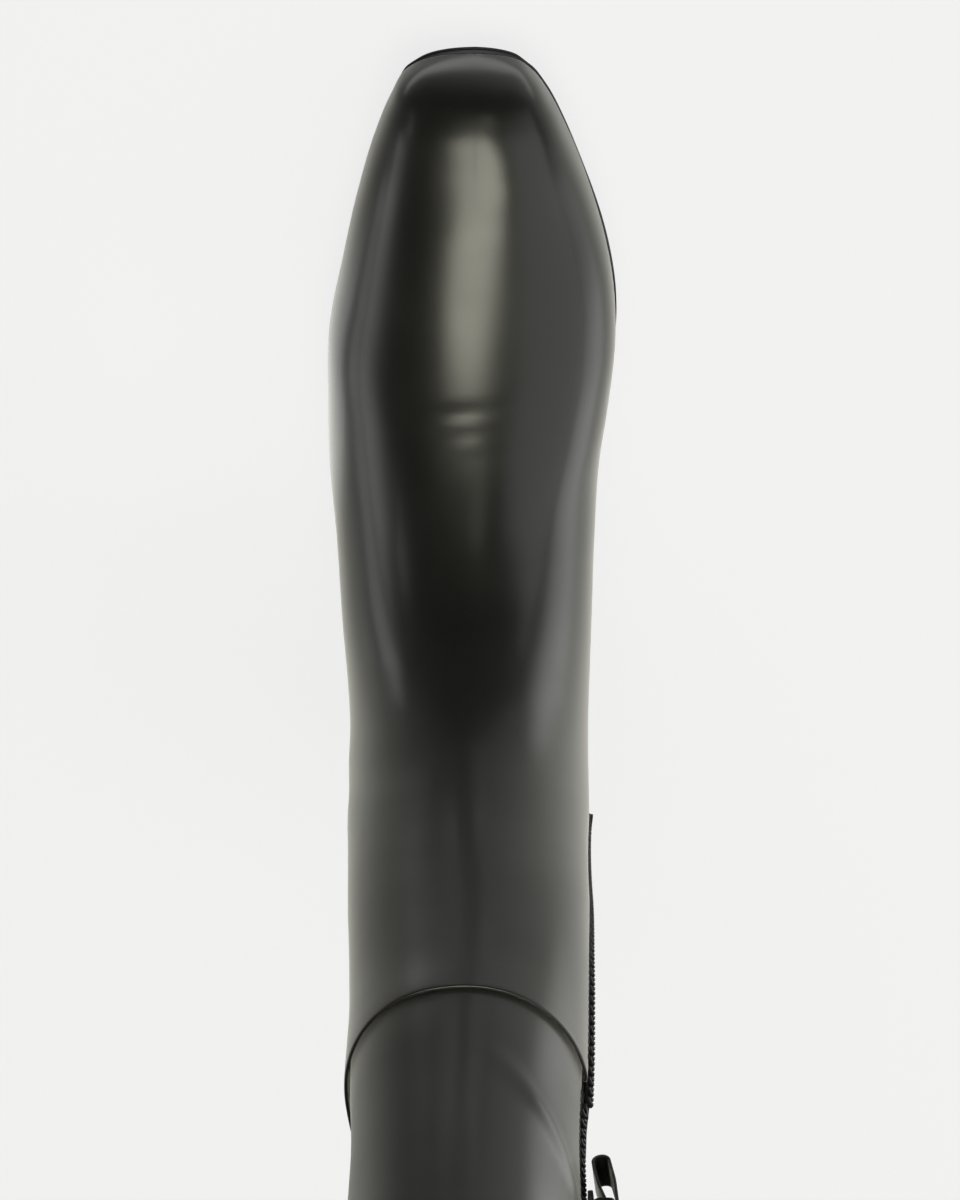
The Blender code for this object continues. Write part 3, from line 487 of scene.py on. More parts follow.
def skin_row(station, shares):
    """Points of the skin at one station."""
    shares = np.asarray(shares, float)
    result = np.empty((len(shares), 3))
    for side in (-1, 1):
        points, run, even = section_side(station, side)
        chosen = shares < 0.0 if side < 0 else shares >= 0.0
        share = np.abs(shares[chosen])
        tail = (share - EVEN_SHARE) / (1.0 - EVEN_SHARE)
        late = EVEN_SHARE * even + tail * (run[-1] - EVEN_SHARE * even)
        wanted = np.where(share <= EVEN_SHARE, share * even, late)
        for axis in range(3):
            result[chosen, axis] = np.interp(wanted, run, points[:, axis])
    return result


SHARE_STEP = 0.006
STATION_STEP = 0.5
TINY_LENGTH = 1e-9


def skin_normal(station, shares):
    """Outward unit normals of the skin at one station, or zero at the toe tip's one point."""
    inner = np.clip(np.asarray(shares, float), -1.0 + SHARE_STEP, 1.0 - SHARE_STEP)
    across = skin_row(station, inner + SHARE_STEP) - skin_row(station, inner - SHARE_STEP)
    up = skin_row(station + STATION_STEP, inner) - skin_row(station - STATION_STEP, inner)
    normal = np.cross(across, up)
    return normal / np.maximum(np.linalg.norm(normal, axis=1), TINY_LENGTH)[:, None]


def inset_row(station, shares, inset):
    """Points under the skin at one station, by an inset in millimetres."""
    return skin_row(station, shares) - skin_normal(station, shares) * inset


print("sections close at station", round(OPEN_END, 1), "and the ball girth is", end=" ")
print(round(section_side(KNOTS[7], -1)[1][-1] + section_side(KNOTS[7], 1)[1][-1]), "mm above the sole")

# %% [markdown]
# ## The slouch tuck
# The slack of the shaft is folded once. The lower shaft ends in a thin turned rim, and the upper shaft
# rises out of a narrow groove behind it. Drawn as a path of heights and insets the outer face stays one
# sheet, as on the real boot, and the dark line beside the rim comes from the shape itself. The inside
# of the wall passes the fold plainly.

# %% Tuck path
RIM_Z = ROWS[RIM_ROW, 1]
COLLAR_Z = ROWS[-1, 1]
RIM_THICK = 1.1
GROOVE_WIDE = 0.7
TUCK_DEPTH = 9.0
JOIN_RUN = 10.0
FLARE = 0.5
FLARE_RUN = 26.0
UPPER_INSET = 1.6
UPPER_EASE = 42.0
RISE_STEP = 1.5
ROLL_STEPS = 10
FALL_STEPS = 6
VALLEY_STEPS = 4
ROLL_RADIUS = RIM_THICK / 2.0
VALLEY_RADIUS = GROOVE_WIDE / 2.0
VALLEY_Z = RIM_Z - TUCK_DEPTH
JOIN_FOOT_Z = VALLEY_Z - JOIN_RUN


def spaced(low, high, step):
    """Even values from low to high, about a step apart."""
    return np.linspace(low, high, int(math.ceil((high - low) / step)) + 1)


def station_at(height):
    """Station whose front point stands at a height."""
    stations = np.linspace(OPEN_END, KNOTS[-1], SIDE_SAMPLES)
    return float(np.interp(height, section_at(stations)[:, 1], stations))


def lower_inset(height):
    """The lower shaft stands out a little under the rim."""
    return -FLARE * float(ease((height - RIM_Z + FLARE_RUN) / FLARE_RUN))


ROLL_OUT = lower_inset(RIM_Z)
TUCK_INSET = ROLL_OUT + 2.0 * ROLL_RADIUS
INNER_INSET = TUCK_INSET + 2.0 * VALLEY_RADIUS


def upper_inset(height):
    """The upper shaft stands inside the rim all the way up."""
    return INNER_INSET + (UPPER_INSET - INNER_INSET) * float(ease((height - RIM_Z) / UPPER_EASE))


def half_turn(steps, height, rise, inset, radius):
    """Rows of height and inset round half a circle, from outside to inside."""
    turns = [math.pi * step / steps for step in range(steps + 1)]
    return [(height + rise * math.sin(t), inset + radius - radius * math.cos(t)) for t in turns]


def tuck_path():
    """Rows of height and inset along the outer face, from under the rim to the groove's far side."""
    roll_z = RIM_Z - ROLL_RADIUS
    path = [(float(height), lower_inset(height)) for height in spaced(JOIN_FOOT_Z, roll_z, RISE_STEP)[:-1]]
    path.extend(half_turn(ROLL_STEPS, roll_z, ROLL_RADIUS, ROLL_OUT, ROLL_RADIUS))
    for height in np.linspace(roll_z, VALLEY_Z, FALL_STEPS + 1)[1:-1]:
        path.append((float(height), TUCK_INSET))
    path.extend(half_turn(VALLEY_STEPS, VALLEY_Z, -VALLEY_RADIUS, TUCK_INSET, VALLEY_RADIUS))
    return path


def plain_path(count):
    """Rows of height and inset that pass the tuck without a fold; the inside of the wall follows these."""
    shares = np.linspace(0.0, 1.0, count)
    heights = JOIN_FOOT_Z + JOIN_RUN * shares
    start = lower_inset(JOIN_FOOT_Z)
    return [(float(h), start + (INNER_INSET - start) * float(ease(s))) for h, s in zip(heights, shares)]


tuck_across = round(INNER_INSET - ROLL_OUT, 1)
print("tuck: rim", RIM_Z, "mm up,", tuck_across, "mm deep across,", TUCK_DEPTH, "mm down")

# %% [markdown]
# ## Creases
# Polished leather breaks where the foot bends, and the slack shaft has one soft diagonal ridge above
# the tuck. A sculptor would push these in with a brush. A short table does the same and can be read:
# where the middle of the crease lies, which way it runs, how long and how broad it is, and how high it
# stands, below zero for a trough. Two broad swells on the toe steer the end of the shine, and a trough
# presses the rim flat behind the chain. A faint unevenness over all of it keeps the shine from looking
# machined.

# %% Creases
Crease = namedtuple("Crease", "station share run_up run_round reach breadth height")
LOWER_CREASES = [
    Crease(118.6, 0.02, 1.0, 9.0, 12.0, 2.6, 0.27),
    Crease(125.6, 0.0, 0.6, 9.0, 8.0, 2.4, 0.16),
    Crease(133.4, -0.06, 1.2, 9.0, 6.5, 2.4, 0.10),
    Crease(38.0, -0.28, 1.0, 0.0, 16.0, 16.0, 1.2),
    Crease(20.0, -0.06, 0.0, 1.0, 14.0, 8.0, 0.9),
]
PRESSED_RIM = Crease(KNOTS[RIM_ROW], -0.585, 1.0, 0.0, 26.0, 12.0, -1.6)
LOWER_CREASES.append(PRESSED_RIM)
UPPER_CREASES = [
    Crease(493.5, -0.262, 20.0, -22.5, 24.0, 5.0, 1.0),
    PRESSED_RIM,
]
UNEVEN_HEIGHT = 0.10
UNEVEN_SIZE = 26.0


def crease_height(creases, station, shares):
    """Height of the listed creases at one station."""
    height = np.zeros(len(shares))
    girths = [section_side(station, side)[2] for side in (-1, 1)]
    girth = np.where(np.asarray(shares) < 0.0, girths[0], girths[1])
    for crease in creases:
        up = station - crease.station
        round_it = (np.asarray(shares) - crease.share) * girth
        length = math.hypot(crease.run_up, crease.run_round)
        along = (up * crease.run_up + round_it * crease.run_round) / length
        off = (up * crease.run_round - round_it * crease.run_up) / length
        height += crease.height * np.exp(-(along / crease.reach) ** 2 - (off / crease.breadth) ** 2)
    return height


def unevenness(points):
    """Slow, shallow waves in the leather."""
    return np.array([UNEVEN_HEIGHT * noise.noise(Vector(point) / UNEVEN_SIZE) for point in points])


print(len(LOWER_CREASES), "creases on the vamp and", len(UPPER_CREASES), "above the tuck")

# %% [markdown]
# ## Finishes: a small kit
# Each finish is a Principled shader fed by a few textures. Textures are read in object coordinates,
# which are metres here, so a scale of 1000 makes marks about a millimetre across, and no unwrapping is
# needed. What is the same all over a surface is set straight on the shader.

# %% Finish kit
TEXTURE_LOW = 0.3
TEXTURE_HIGH = 0.7


def new_finish(name, color, roughness, metallic=0.0):
    """A material with its Principled shader set, and its node tree."""
    made = bpy.data.materials.new(name)
    made.use_nodes = True
    tree = made.node_tree
    shader = tree.nodes["Principled BSDF"]
    shader.inputs["Base Color"].default_value = (*color, 1.0)
    shader.inputs["Roughness"].default_value = roughness
    shader.inputs["Metallic"].default_value = metallic
    return made, tree, shader


def texture(tree, kind, scale, **settings):
    """A texture node in object coordinates."""
    place = tree.nodes.get("place")
    if place is None:
        place = tree.nodes.new("ShaderNodeTexCoord")
        place.name = "place"
    made = tree.nodes.new(kind)
    made.inputs["Scale"].default_value = scale
    for socket, value in settings.items():
        made.inputs[socket].default_value = value
    tree.links.new(place.outputs["Object"], made.inputs["Vector"])
    return made


def spread(tree, source, low, high):
    """Map a texture's value onto a range."""
    made = tree.nodes.new("ShaderNodeMapRange")
    made.inputs["From Min"].default_value = TEXTURE_LOW
    made.inputs["From Max"].default_value = TEXTURE_HIGH
    made.inputs["To Min"].default_value = low
    made.inputs["To Max"].default_value = high
    tree.links.new(source, made.inputs["Value"])
    return made.outputs["Result"]


def two_tone(tree, shader, source, dark, light):
    """Feed the base colour from a texture between two tones."""
    ramp = tree.nodes.new("ShaderNodeValToRGB")
    ramp.color_ramp.elements[0].position = TEXTURE_LOW
    ramp.color_ramp.elements[0].color = (*dark, 1.0)
    ramp.color_ramp.elements[1].position = TEXTURE_HIGH
    ramp.color_ramp.elements[1].color = (*light, 1.0)
    tree.links.new(source, ramp.inputs["Fac"])
    tree.links.new(ramp.outputs["Color"], shader.inputs["Base Color"])


def relief(tree, shader, source, depth_mm, strength=1.0):
    """Add a bump of a given depth on top of what the shader's normal already has."""
    bump = tree.nodes.new("ShaderNodeBump")
    bump.inputs["Strength"].default_value = strength
    bump.inputs["Distance"].default_value = depth_mm * MM
    tree.links.new(source, bump.inputs["Height"])
    before = shader.inputs["Normal"].links
    if before:
        tree.links.new(before[0].from_socket, bump.inputs["Normal"])
    tree.links.new(bump.outputs["Normal"], shader.inputs["Normal"])


print("finish kit ready")

# %% [markdown]
# ## Black polished leather
# Polished calf is nearly smooth: fine pores, a tight grain of cells well under a millimetre, and slow
# changes of polish. The grain goes in as bump, because at this size it is far finer than the mesh. The
# polish is a roughness that wanders between two values. A sheen lifts the turning edges. It is weaker
# above the tuck, because the photograph's tones are darker there, so the upper shaft gets painted shade.

# %% Leather finish
POLISH_LOW = 0.290
POLISH_HIGH = 0.345
CELL_DEPTH = 0.018
PORE_DEPTH = 0.010
GRAIN_STRENGTH = 0.5
COAT_WEIGHT = 0.25
COAT_ROUGHNESS = 0.16
SHEEN_ROUGHNESS = 0.35
SHEEN_SHADE_FROM_Z = 0.245
SHEEN_SHADE_TO_Z = 0.275
SHEEN_BELOW_TUCK = 0.9
SHEEN_ABOVE_TUCK_SHADED = 0.42
WARM_BLACK = (1.0, 1.0, 0.94, 1.0)


def make_leather():
    """Smooth black leather with a tight grain."""
    made, tree, shader = new_finish("black_leather", (0.011, 0.011, 0.0102), 0.31)
    cloudy = texture(tree, "ShaderNodeTexNoise", 42.0, Detail=3.0)
    pores = texture(tree, "ShaderNodeTexNoise", 1500.0, Detail=2.0)
    cells = texture(tree, "ShaderNodeTexVoronoi", 1100.0)
    two_tone(tree, shader, cloudy.outputs["Fac"], (0.0096, 0.0096, 0.0089), (0.0130, 0.0130, 0.0120))
    tree.links.new(spread(tree, cloudy.outputs["Fac"], POLISH_LOW, POLISH_HIGH), shader.inputs["Roughness"])
    relief(tree, shader, cells.outputs["Distance"], CELL_DEPTH, GRAIN_STRENGTH)
    relief(tree, shader, pores.outputs["Fac"], PORE_DEPTH, GRAIN_STRENGTH)
    shader.inputs["Coat Weight"].default_value = COAT_WEIGHT
    shader.inputs["Coat Roughness"].default_value = COAT_ROUGHNESS
    # Sheen weight falls with height across the tuck: the lower sheen above it is painted shade on the upper
    # shaft.
    split = tree.nodes.new("ShaderNodeSeparateXYZ")
    tree.links.new(tree.nodes["place"].outputs["Object"], split.inputs["Vector"])
    sheen_shade = tree.nodes.new("ShaderNodeMapRange")
    sheen_shade.inputs["From Min"].default_value = SHEEN_SHADE_FROM_Z
    sheen_shade.inputs["From Max"].default_value = SHEEN_SHADE_TO_Z
    sheen_shade.inputs["To Min"].default_value = SHEEN_BELOW_TUCK
    sheen_shade.inputs["To Max"].default_value = SHEEN_ABOVE_TUCK_SHADED
    tree.links.new(split.outputs["Z"], sheen_shade.inputs["Value"])
    tree.links.new(sheen_shade.outputs["Result"], shader.inputs["Sheen Weight"])
    shader.inputs["Sheen Roughness"].default_value = SHEEN_ROUGHNESS
    shader.inputs["Sheen Tint"].default_value = WARM_BLACK
    shader.inputs["Specular Tint"].default_value = WARM_BLACK
    return made


def make_leather_edge():
    """The cut or folded edge of the leather, painted and a little fibrous."""
    made, tree, shader = new_finish("leather_edge", (0.03, 0.03, 0.028), 0.5)
    fibres = texture(tree, "ShaderNodeTexNoise", 1800.0, Detail=4.0)
    two_tone(tree, shader, fibres.outputs["Fac"], (0.018, 0.018, 0.017), (0.07, 0.068, 0.063))
    relief(tree, shader, fibres.outputs["Fac"], 0.05)
    return made


def make_lining():
    """Dark lining leather with a soft nap."""
    made, tree, shader = new_finish("dark_lining", (0.045, 0.042, 0.038), 0.75)
    nap = texture(tree, "ShaderNodeTexNoise", 900.0, Detail=5.0)
    two_tone(tree, shader, nap.outputs["Fac"], (0.030, 0.028, 0.025), (0.062, 0.058, 0.052))
    relief(tree, shader, nap.outputs["Fac"], 0.04)
    shader.inputs["Sheen Weight"].default_value = 0.15
    return made


LEATHER = make_leather()
LEATHER_EDGE = make_leather_edge()
LINING = make_lining()
print("finishes:", LEATHER.name, LEATHER_EDGE.name, LINING.name)

# %% [markdown]
# ## From points to a piece
# Every piece of the boot is made the same way: points in millimetres as the table has them, across,
# back from the toe and up, become metres in the part's frame. The piece rides on the part's one body
# and stands for the imported node it dresses.

# %% Piece helpers
HEEL_CENTRE_AT = 246.0
MERGE_MM = 0.02


def to_frame(points):
    """Points along (across, from toe, up) in millimetres, as frame points in metres."""
    return (np.asarray(points, float) - (0.0, HEEL_CENTRE_AT, 0.0)) * MM


def dress(name, mesh, slot, *nodes):
    """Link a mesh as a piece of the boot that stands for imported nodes."""
    item = bpy.data.objects.new(name, mesh)
    bpy.context.scene.collection.objects.link(item)
    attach(item, "root")
    if nodes:
        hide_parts(*nodes)
    return item


def solid_mesh(name, points, faces, *finishes):
    """A mesh with its doubles merged, its faces turned outward and its shading smooth."""
    mesh = bpy.data.meshes.new(name)
    mesh.from_pydata([tuple(point) for point in points], [], faces)
    work = bmesh.new()
    work.from_mesh(mesh)
    bmesh.ops.remove_doubles(work, verts=work.verts, dist=MERGE_MM * MM)
    bmesh.ops.recalc_face_normals(work, faces=work.faces)
    work.to_mesh(mesh)
    work.free()
    mesh.shade_smooth()
    for finish in finishes:
        mesh.materials.append(finish)
    return mesh


def bake(item):
    """Turn an object's modifiers into its mesh."""
    bpy.context.view_layer.update()
    baked = bpy.data.meshes.new_from_object(item.evaluated_get(bpy.context.evaluated_depsgraph_get()))
    item.modifiers.clear()
    item.data = baked


def triangles(item):
    """Triangle count of a mesh object."""
    return sum(len(face.vertices) - 2 for face in item.data.polygons)


print("origin is", HEEL_CENTRE_AT, "mm behind the toe")

# %% [markdown]
# ## The leather upper
# The upper is one hollow sheet from toe to collar, so it is sampled from the skin in one go, in rows
# about two millimetres apart, closer round the rim. The columns crowd at the zip slit, where the edge
# is rounded over. A wall is then given with Solidify, which also paints the inside as lining and the
# rims as cut edges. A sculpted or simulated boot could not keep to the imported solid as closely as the
# same rule does.

# %% Rows and columns of the leather
ROW_STEP = 2.0
UPPER_ROW_STEP = 1.8
ZIP_SHARE = 0.47
ZIP_DRIFT = 12.0
DRIFT_FROM_Z = 228.0
DRIFT_TO_Z = 165.0
SLIT_WIDE = 8.0
SLIT_FOOT_Z = 159.0
SLIT_HEAD_Z = 314.0
CALM_SHARE = 0.02
CALM_ROW = 10
EDGE_STEPS = (3.0, 1.7, 0.9, 0.4, 0.0)
FRONT_COLUMNS = 33
BACK_COLUMNS = 31
SLIT_COLUMNS = 4


def zip_drift(station):
    """How far the zip line runs back from its share toward its foot, in millimetres."""
    start = station_at(DRIFT_FROM_Z)
    end = station_at(DRIFT_TO_Z)
    return ZIP_DRIFT * float(ease((start - station) / (start - end)))


def zip_shares(station, offsets):
    """Signed shares of points set off from the zip line, toward the back, in millimetres."""
    length = section_side(station, -1)[2]
    drift = zip_drift(station)
    return [-(ZIP_SHARE + (offset + drift) / length) for offset in offsets]


def column_shares(station):
    """Signed shares of one row's columns, medial foot to lateral foot, crowded at the slit's edges."""
    length = max(section_side(station, -1)[2], SLIT_WIDE * 4.0)
    half_slit = SLIT_WIDE / 2.0 / length
    shelves = np.array(EDGE_STEPS) / length
    blend = float(ease(station / KNOTS[CALM_ROW]))
    half_slit = CALM_SHARE + (half_slit - CALM_SHARE) * blend
    middle = ZIP_SHARE + zip_drift(station) / length * blend
    shelves = shelves * blend + np.linspace(CALM_SHARE, 0.0, len(EDGE_STEPS)) * (1.0 - blend)
    front_edges = middle - half_slit - shelves
    back_edges = (middle + half_slit + shelves)[::-1]
    front = np.linspace(0.0, front_edges[0], FRONT_COLUMNS + 1)[:-1]
    slit = np.linspace(front_edges[-1], back_edges[0], SLIT_COLUMNS + 1)[1:-1]
    back = np.linspace(back_edges[-1], 1.0, BACK_COLUMNS + 1)[1:]
    half = np.concatenate([front, front_edges, slit, back_edges, back])
    return np.concatenate([-half[::-1], half[1:]])


Row = namedtuple("Row", "station inset on_upper")


def leather_rows():
    """Rows of the leather's face: toe tip to below the tuck, the tuck, and from the groove to the collar."""
    below = []
    for station in spaced(0.0, station_at(JOIN_FOOT_Z), ROW_STEP)[:-1]:
        below.append(Row(float(station), lower_inset(section_at([station])[0, 1]), False))
    tuck = [Row(station_at(height), inset, False) for height, inset in tuck_path()]
    above = []
    for height in spaced(VALLEY_Z, COLLAR_Z, UPPER_ROW_STEP)[1:]:
        above.append(Row(station_at(height), upper_inset(height), True))
    return below, tuck, above


print([len(rows) for rows in leather_rows()], "rows of", len(column_shares(100.0)), "columns")

# %% [markdown]
# ## Edges, back seam and collar in the same sheet
# Three more things belong to the sheet: the turned edge along the zip, the back seam, where the two
# ends of the leather are sewn together and pulled in, and the turned top edge. They are small offsets
# along the normal, worked out from how far a point is from the slit, the back or the collar.

# %% Upper mesh
WALL = 1.2
EDGE_DROP = 0.45
EDGE_RUN = 1.1
SEAM_DEPTH = 0.4
SEAM_HALF = 0.9
SEAM_SWELL = 0.18
SEAM_SWELL_AT = 2.6
COLLAR_DROP = 0.35
COLLAR_RUN = 1.6
SLIT_TAIL = 0.5
SLIT_FOOT = station_at(SLIT_FOOT_Z)
SLIT_HEAD = station_at(SLIT_HEAD_Z)
SAME_PLACE = 0.00002
FIRST_SLIT_COLUMN = BACK_COLUMNS + len(EDGE_STEPS) - 1


def edge_offset(row, shares):
    """Offset of the zip edges, the back seam and the top edge, outward, in millimetres."""
    length = section_side(row.station, -1)[2]
    from_line = (-np.asarray(shares) - ZIP_SHARE) * length - zip_drift(row.station)
    from_slit = np.abs(from_line) - SLIT_WIDE / 2.0
    in_run = SLIT_FOOT <= row.station <= SLIT_HEAD
    offset = -EDGE_DROP * np.exp(-(np.clip(from_slit, 0.0, None) / EDGE_RUN) ** 2) * in_run
    if row.station > OPEN_END:
        from_back = (1.0 - np.abs(shares)) * length
        offset -= SEAM_DEPTH * np.exp(-(from_back / SEAM_HALF) ** 2)
        offset += SEAM_SWELL * np.exp(-((from_back - SEAM_SWELL_AT) / SEAM_HALF) ** 2)
    from_collar = (KNOTS[-1] - row.station) / COLLAR_RUN
    if row.on_upper:
        offset -= COLLAR_DROP * math.exp(-from_collar ** 2)
    return offset


def leather_points(row):
    """Points of one row of the leather, with its creases."""
    shares = column_shares(row.station)
    points = skin_row(row.station, shares)
    creases = UPPER_CREASES if row.on_upper else LOWER_CREASES
    lift = crease_height(creases, row.station, shares) + unevenness(points)
    lift = lift + edge_offset(row, shares) - row.inset
    lift *= float(ease(row.station / KNOTS[1]))
    points = points + skin_normal(row.station, shares) * lift[:, None]
    if row.station >= OPEN_END:
        points[[0, -1]] = (points[0] + points[-1]) / 2.0
    return points


def leather_faces(rows, columns):
    """Faces of the sheet, left out along the slit."""
    faces = []
    for r in range(len(rows) - 1):
        low = min(rows[r].station, rows[r + 1].station)
        high = max(rows[r].station, rows[r + 1].station)
        open_row = low > SLIT_FOOT - SLIT_TAIL and high < SLIT_HEAD + SLIT_TAIL
        for c in range(columns - 1):
            in_slit = FIRST_SLIT_COLUMN <= c < FIRST_SLIT_COLUMN + SLIT_COLUMNS
            if open_row and in_slit:
                continue
            first = r * columns + c
            faces.append((first, first + 1, first + columns + 1, first + columns))
    return faces


def fold_outer_face(item, plain, folded):
    """Carry the wall's outer face, and nothing else, from the plain rows to the folded ones."""
    finder = KDTree(len(plain))
    for number, point in enumerate(plain):
        finder.insert(point, number)
    finder.balance()
    for vert in item.data.vertices:
        number, distance = finder.find(vert.co)[1:]
        if distance < SAME_PLACE:
            vert.co = folded[number]


def make_upper():
    """The hollow leather upper, lined inside."""
    below, tuck, above = leather_rows()
    passing = [Row(station_at(height), inset, False) for height, inset in plain_path(len(tuck))]
    folded = to_frame(np.concatenate([leather_points(row) for row in below + tuck + above]))
    rows = below + passing + above
    plain = to_frame(np.concatenate([leather_points(row) for row in rows]))
    faces = leather_faces(rows, len(plain) // len(rows))
    mesh = solid_mesh("boot_upper", plain, faces, LEATHER, LINING, LEATHER_EDGE)
    item = dress("boot_upper", mesh, "black_leather", "upper")
    wall = item.modifiers.new("wall", "SOLIDIFY")
    wall.thickness = WALL * MM
    wall.offset = -1.0
    wall.use_even_offset = True
    wall.use_quality_normals = True
    wall.material_offset = 1
    wall.material_offset_rim = 2
    bake(item)
    fold_outer_face(item, plain, folded)
    return item


upper = make_upper()
print("upper:", triangles(upper), "triangles")

# %% [markdown]
# ## Rubber, tape, thread and moulded plastic
# The other finishes are all black too, so they are told apart by how they shine: the sole edge is waxed
# and streaky along its length, the tape is a dull weave, the zip teeth are moulded plastic with a soft
# gloss, and the slider is lacquered metal. Each gets a texture at its own scale.

# %% Other finishes
def make_rubber():
    """Waxed black sole edge, slightly streaky and pitted."""
    made, tree, shader = new_finish("black_rubber", (0.012, 0.012, 0.011), 0.45)
    cloudy = texture(tree, "ShaderNodeTexNoise", 160.0, Detail=5.0)
    pits = texture(tree, "ShaderNodeTexNoise", 1300.0, Detail=3.0)
    two_tone(tree, shader, cloudy.outputs["Fac"], (0.008, 0.008, 0.0075), (0.019, 0.0185, 0.0175))
    tree.links.new(spread(tree, cloudy.outputs["Fac"], 0.36, 0.56), shader.inputs["Roughness"])
    relief(tree, shader, pits.outputs["Fac"], 0.05, 0.6)
    return made


def make_tape():
    """Black woven zip tape: two crossed sets of fine ribs."""
    made, tree, shader = new_finish("black_tape", (0.014, 0.014, 0.014), 0.8)
    warp = texture(tree, "ShaderNodeTexWave", 420.0, Distortion=0.6)
    weft = texture(tree, "ShaderNodeTexWave", 420.0, Distortion=0.6)
    weft.bands_direction = "Z"
    two_tone(tree, shader, weft.outputs["Fac"], (0.008, 0.008, 0.008), (0.024, 0.024, 0.023))
    relief(tree, shader, warp.outputs["Fac"], 0.12)
    relief(tree, shader, weft.outputs["Fac"], 0.12)
    shader.inputs["Sheen Weight"].default_value = 0.2
    return made


def make_thread():
    """Waxed black sewing thread."""
    made, tree, shader = new_finish("black_thread", (0.016, 0.016, 0.015), 0.5)
    twist = texture(tree, "ShaderNodeTexWave", 900.0, Distortion=1.5)
    two_tone(tree, shader, twist.outputs["Fac"], (0.010, 0.010, 0.0095), (0.026, 0.026, 0.024))
    relief(tree, shader, twist.outputs["Fac"], 0.06)
    return made


def make_plastic():
    """Moulded black zip teeth, with a soft gloss."""
    made, tree, shader = new_finish("black_teeth", (0.013, 0.013, 0.013), 0.36)
    mould = texture(tree, "ShaderNodeTexNoise", 700.0, Detail=3.0)
    tree.links.new(spread(tree, mould.outputs["Fac"], 0.28, 0.46), shader.inputs["Roughness"])
    two_tone(tree, shader, mould.outputs["Fac"], (0.009, 0.009, 0.009), (0.017, 0.017, 0.017))
    relief(tree, shader, mould.outputs["Fac"], 0.03, 0.6)
    return made


def make_lacquer():
    """Black lacquered metal of the slider, rubbed thin in places."""
    made, tree, shader = new_finish("black_slider", (0.02, 0.02, 0.021), 0.3, 0.6)
    wear = texture(tree, "ShaderNodeTexNoise", 520.0, Detail=5.0)
    two_tone(tree, shader, wear.outputs["Fac"], (0.012, 0.012, 0.0125), (0.036, 0.036, 0.037))
    tree.links.new(spread(tree, wear.outputs["Fac"], 0.22, 0.42), shader.inputs["Roughness"])
    relief(tree, shader, wear.outputs["Fac"], 0.02, 0.6)
    shader.inputs["Coat Weight"].default_value = 0.4
    return made


RUBBER = make_rubber()
TAPE = make_tape()
THREAD = make_thread()
TEETH = make_plastic()
LACQUER = make_lacquer()
print("finishes:", [made.name for made in (RUBBER, TAPE, THREAD, TEETH, LACQUER)])

# %% [markdown]
# ## The sole's outline
# The feather line is where the upper turns under. A sole is cut to that line with a margin, which on
# this boot is a few millimetres along the inner forefoot and less than nothing on the outer side, where
# the leather bulges over it. The line is walked once on each side, and every ring of the sole, heel and
# insole is set out from it.

# %% Outline of the sole
Margin = namedtuple("Margin", "at medial lateral")
SOLE_MARGINS = [
    Margin(0.0, 0.0, 0.0),
    Margin(4.0, -0.9, -1.2),
    Margin(10.0, -0.6, -1.1),
    Margin(20.0, -0.3, -0.9),
    Margin(40.0, 0.0, -0.7),
    Margin(80.0, 1.6, -0.8),
    Margin(112.0, 2.7, -0.6),
    Margin(140.0, 1.8, 0.0),
    Margin(170.0, 1.0, 0.8),
    Margin(286.0, 1.2, 1.2),
]
PLAN_SAMPLES = 500
TURN_WEIGHT = 60.0
BREAST_AT = 218.0


def feather_lines():
    """The feather line from toe to heel, medial then lateral: rows of distance and half width."""
    lines = []
    for side in (-1, 1):
        ends = [section_side(station, side)[0][-1] for station in np.linspace(0.0, OPEN_END, PLAN_SAMPLES)]
        lines.append(np.array([(end[1], side * end[0]) for end in ends]))
    return lines


FEATHER = feather_lines()


def sole_edge(shy):
    """Margins of the sole's edge along the two feather lines, less an amount."""
    table = np.array(SOLE_MARGINS)
    return [smooth_curve(table[:, 0], table[:, 1:], FEATHER[n][:, 0])[:, n] - shy for n in range(2)]


def even_edge(shy):
    """The same amount inside both feather lines, all along."""
    return [np.full(len(line), -shy) for line in FEATHER]


def plan_side(number, margins):
    """One side of the feather line set out by its margins: rows of distance and half width."""
    line = FEATHER[number]
    along = np.gradient(line, axis=0)
    along[0] = (0.0, 1.0)
    along[-1] = (0.0, -1.0)
    out = np.stack([-along[:, 1], along[:, 0]], axis=1)
    out /= np.linalg.norm(out, axis=1)[:, None]
    set_out = line + out * margins[number][:, None]
    set_out[:, 1] = np.maximum(set_out[:, 1], 0.0)
    return set_out


def plan_picks(count, first_at=0.0):
    """Row numbers of the feather line, closer together where it turns fast."""
    line = FEATHER[0]
    start = int(np.argmax(line[:, 0] >= first_at))
    along = np.gradient(line, axis=0)
    heading = np.unwrap(np.arctan2(along[:, 1], along[:, 0]))
    run = np.hypot(along[:, 0], along[:, 1])
    effort = np.cumsum(run + TURN_WEIGHT * np.abs(np.gradient(heading)))[start:]
    wanted = np.linspace(effort[0], effort[-1], count)
    return np.unique(np.round(np.interp(wanted, effort, np.arange(start, len(line)))).astype(int))


def plan_ring(picks, margins, height):
    """A closed ring of points round the outline, medial side first, at a height rule."""
    medial = plan_side(0, margins)[picks]
    lateral = plan_side(1, margins)[picks][::-1]
    across = np.concatenate([-medial[:, 1], lateral[:, 1]])
    along = np.concatenate([medial[:, 0], lateral[:, 0]])
    return np.stack([across, along, height(along)], axis=1)


print("feather line is", round(FEATHER[0][-1, 0]), "mm long")

# %% [markdown]
# ## A body from rings
# Sole, heel and insole are all stacks of rings: walls between the rings, and a cap of strips across the
# first and the last. The caps are woven finely enough to take a tread, which is pressed up into the
# lowest one.

# %% Ring body
CAP_COLUMNS = 36
CORNER_ANGLE = math.radians(38.0)


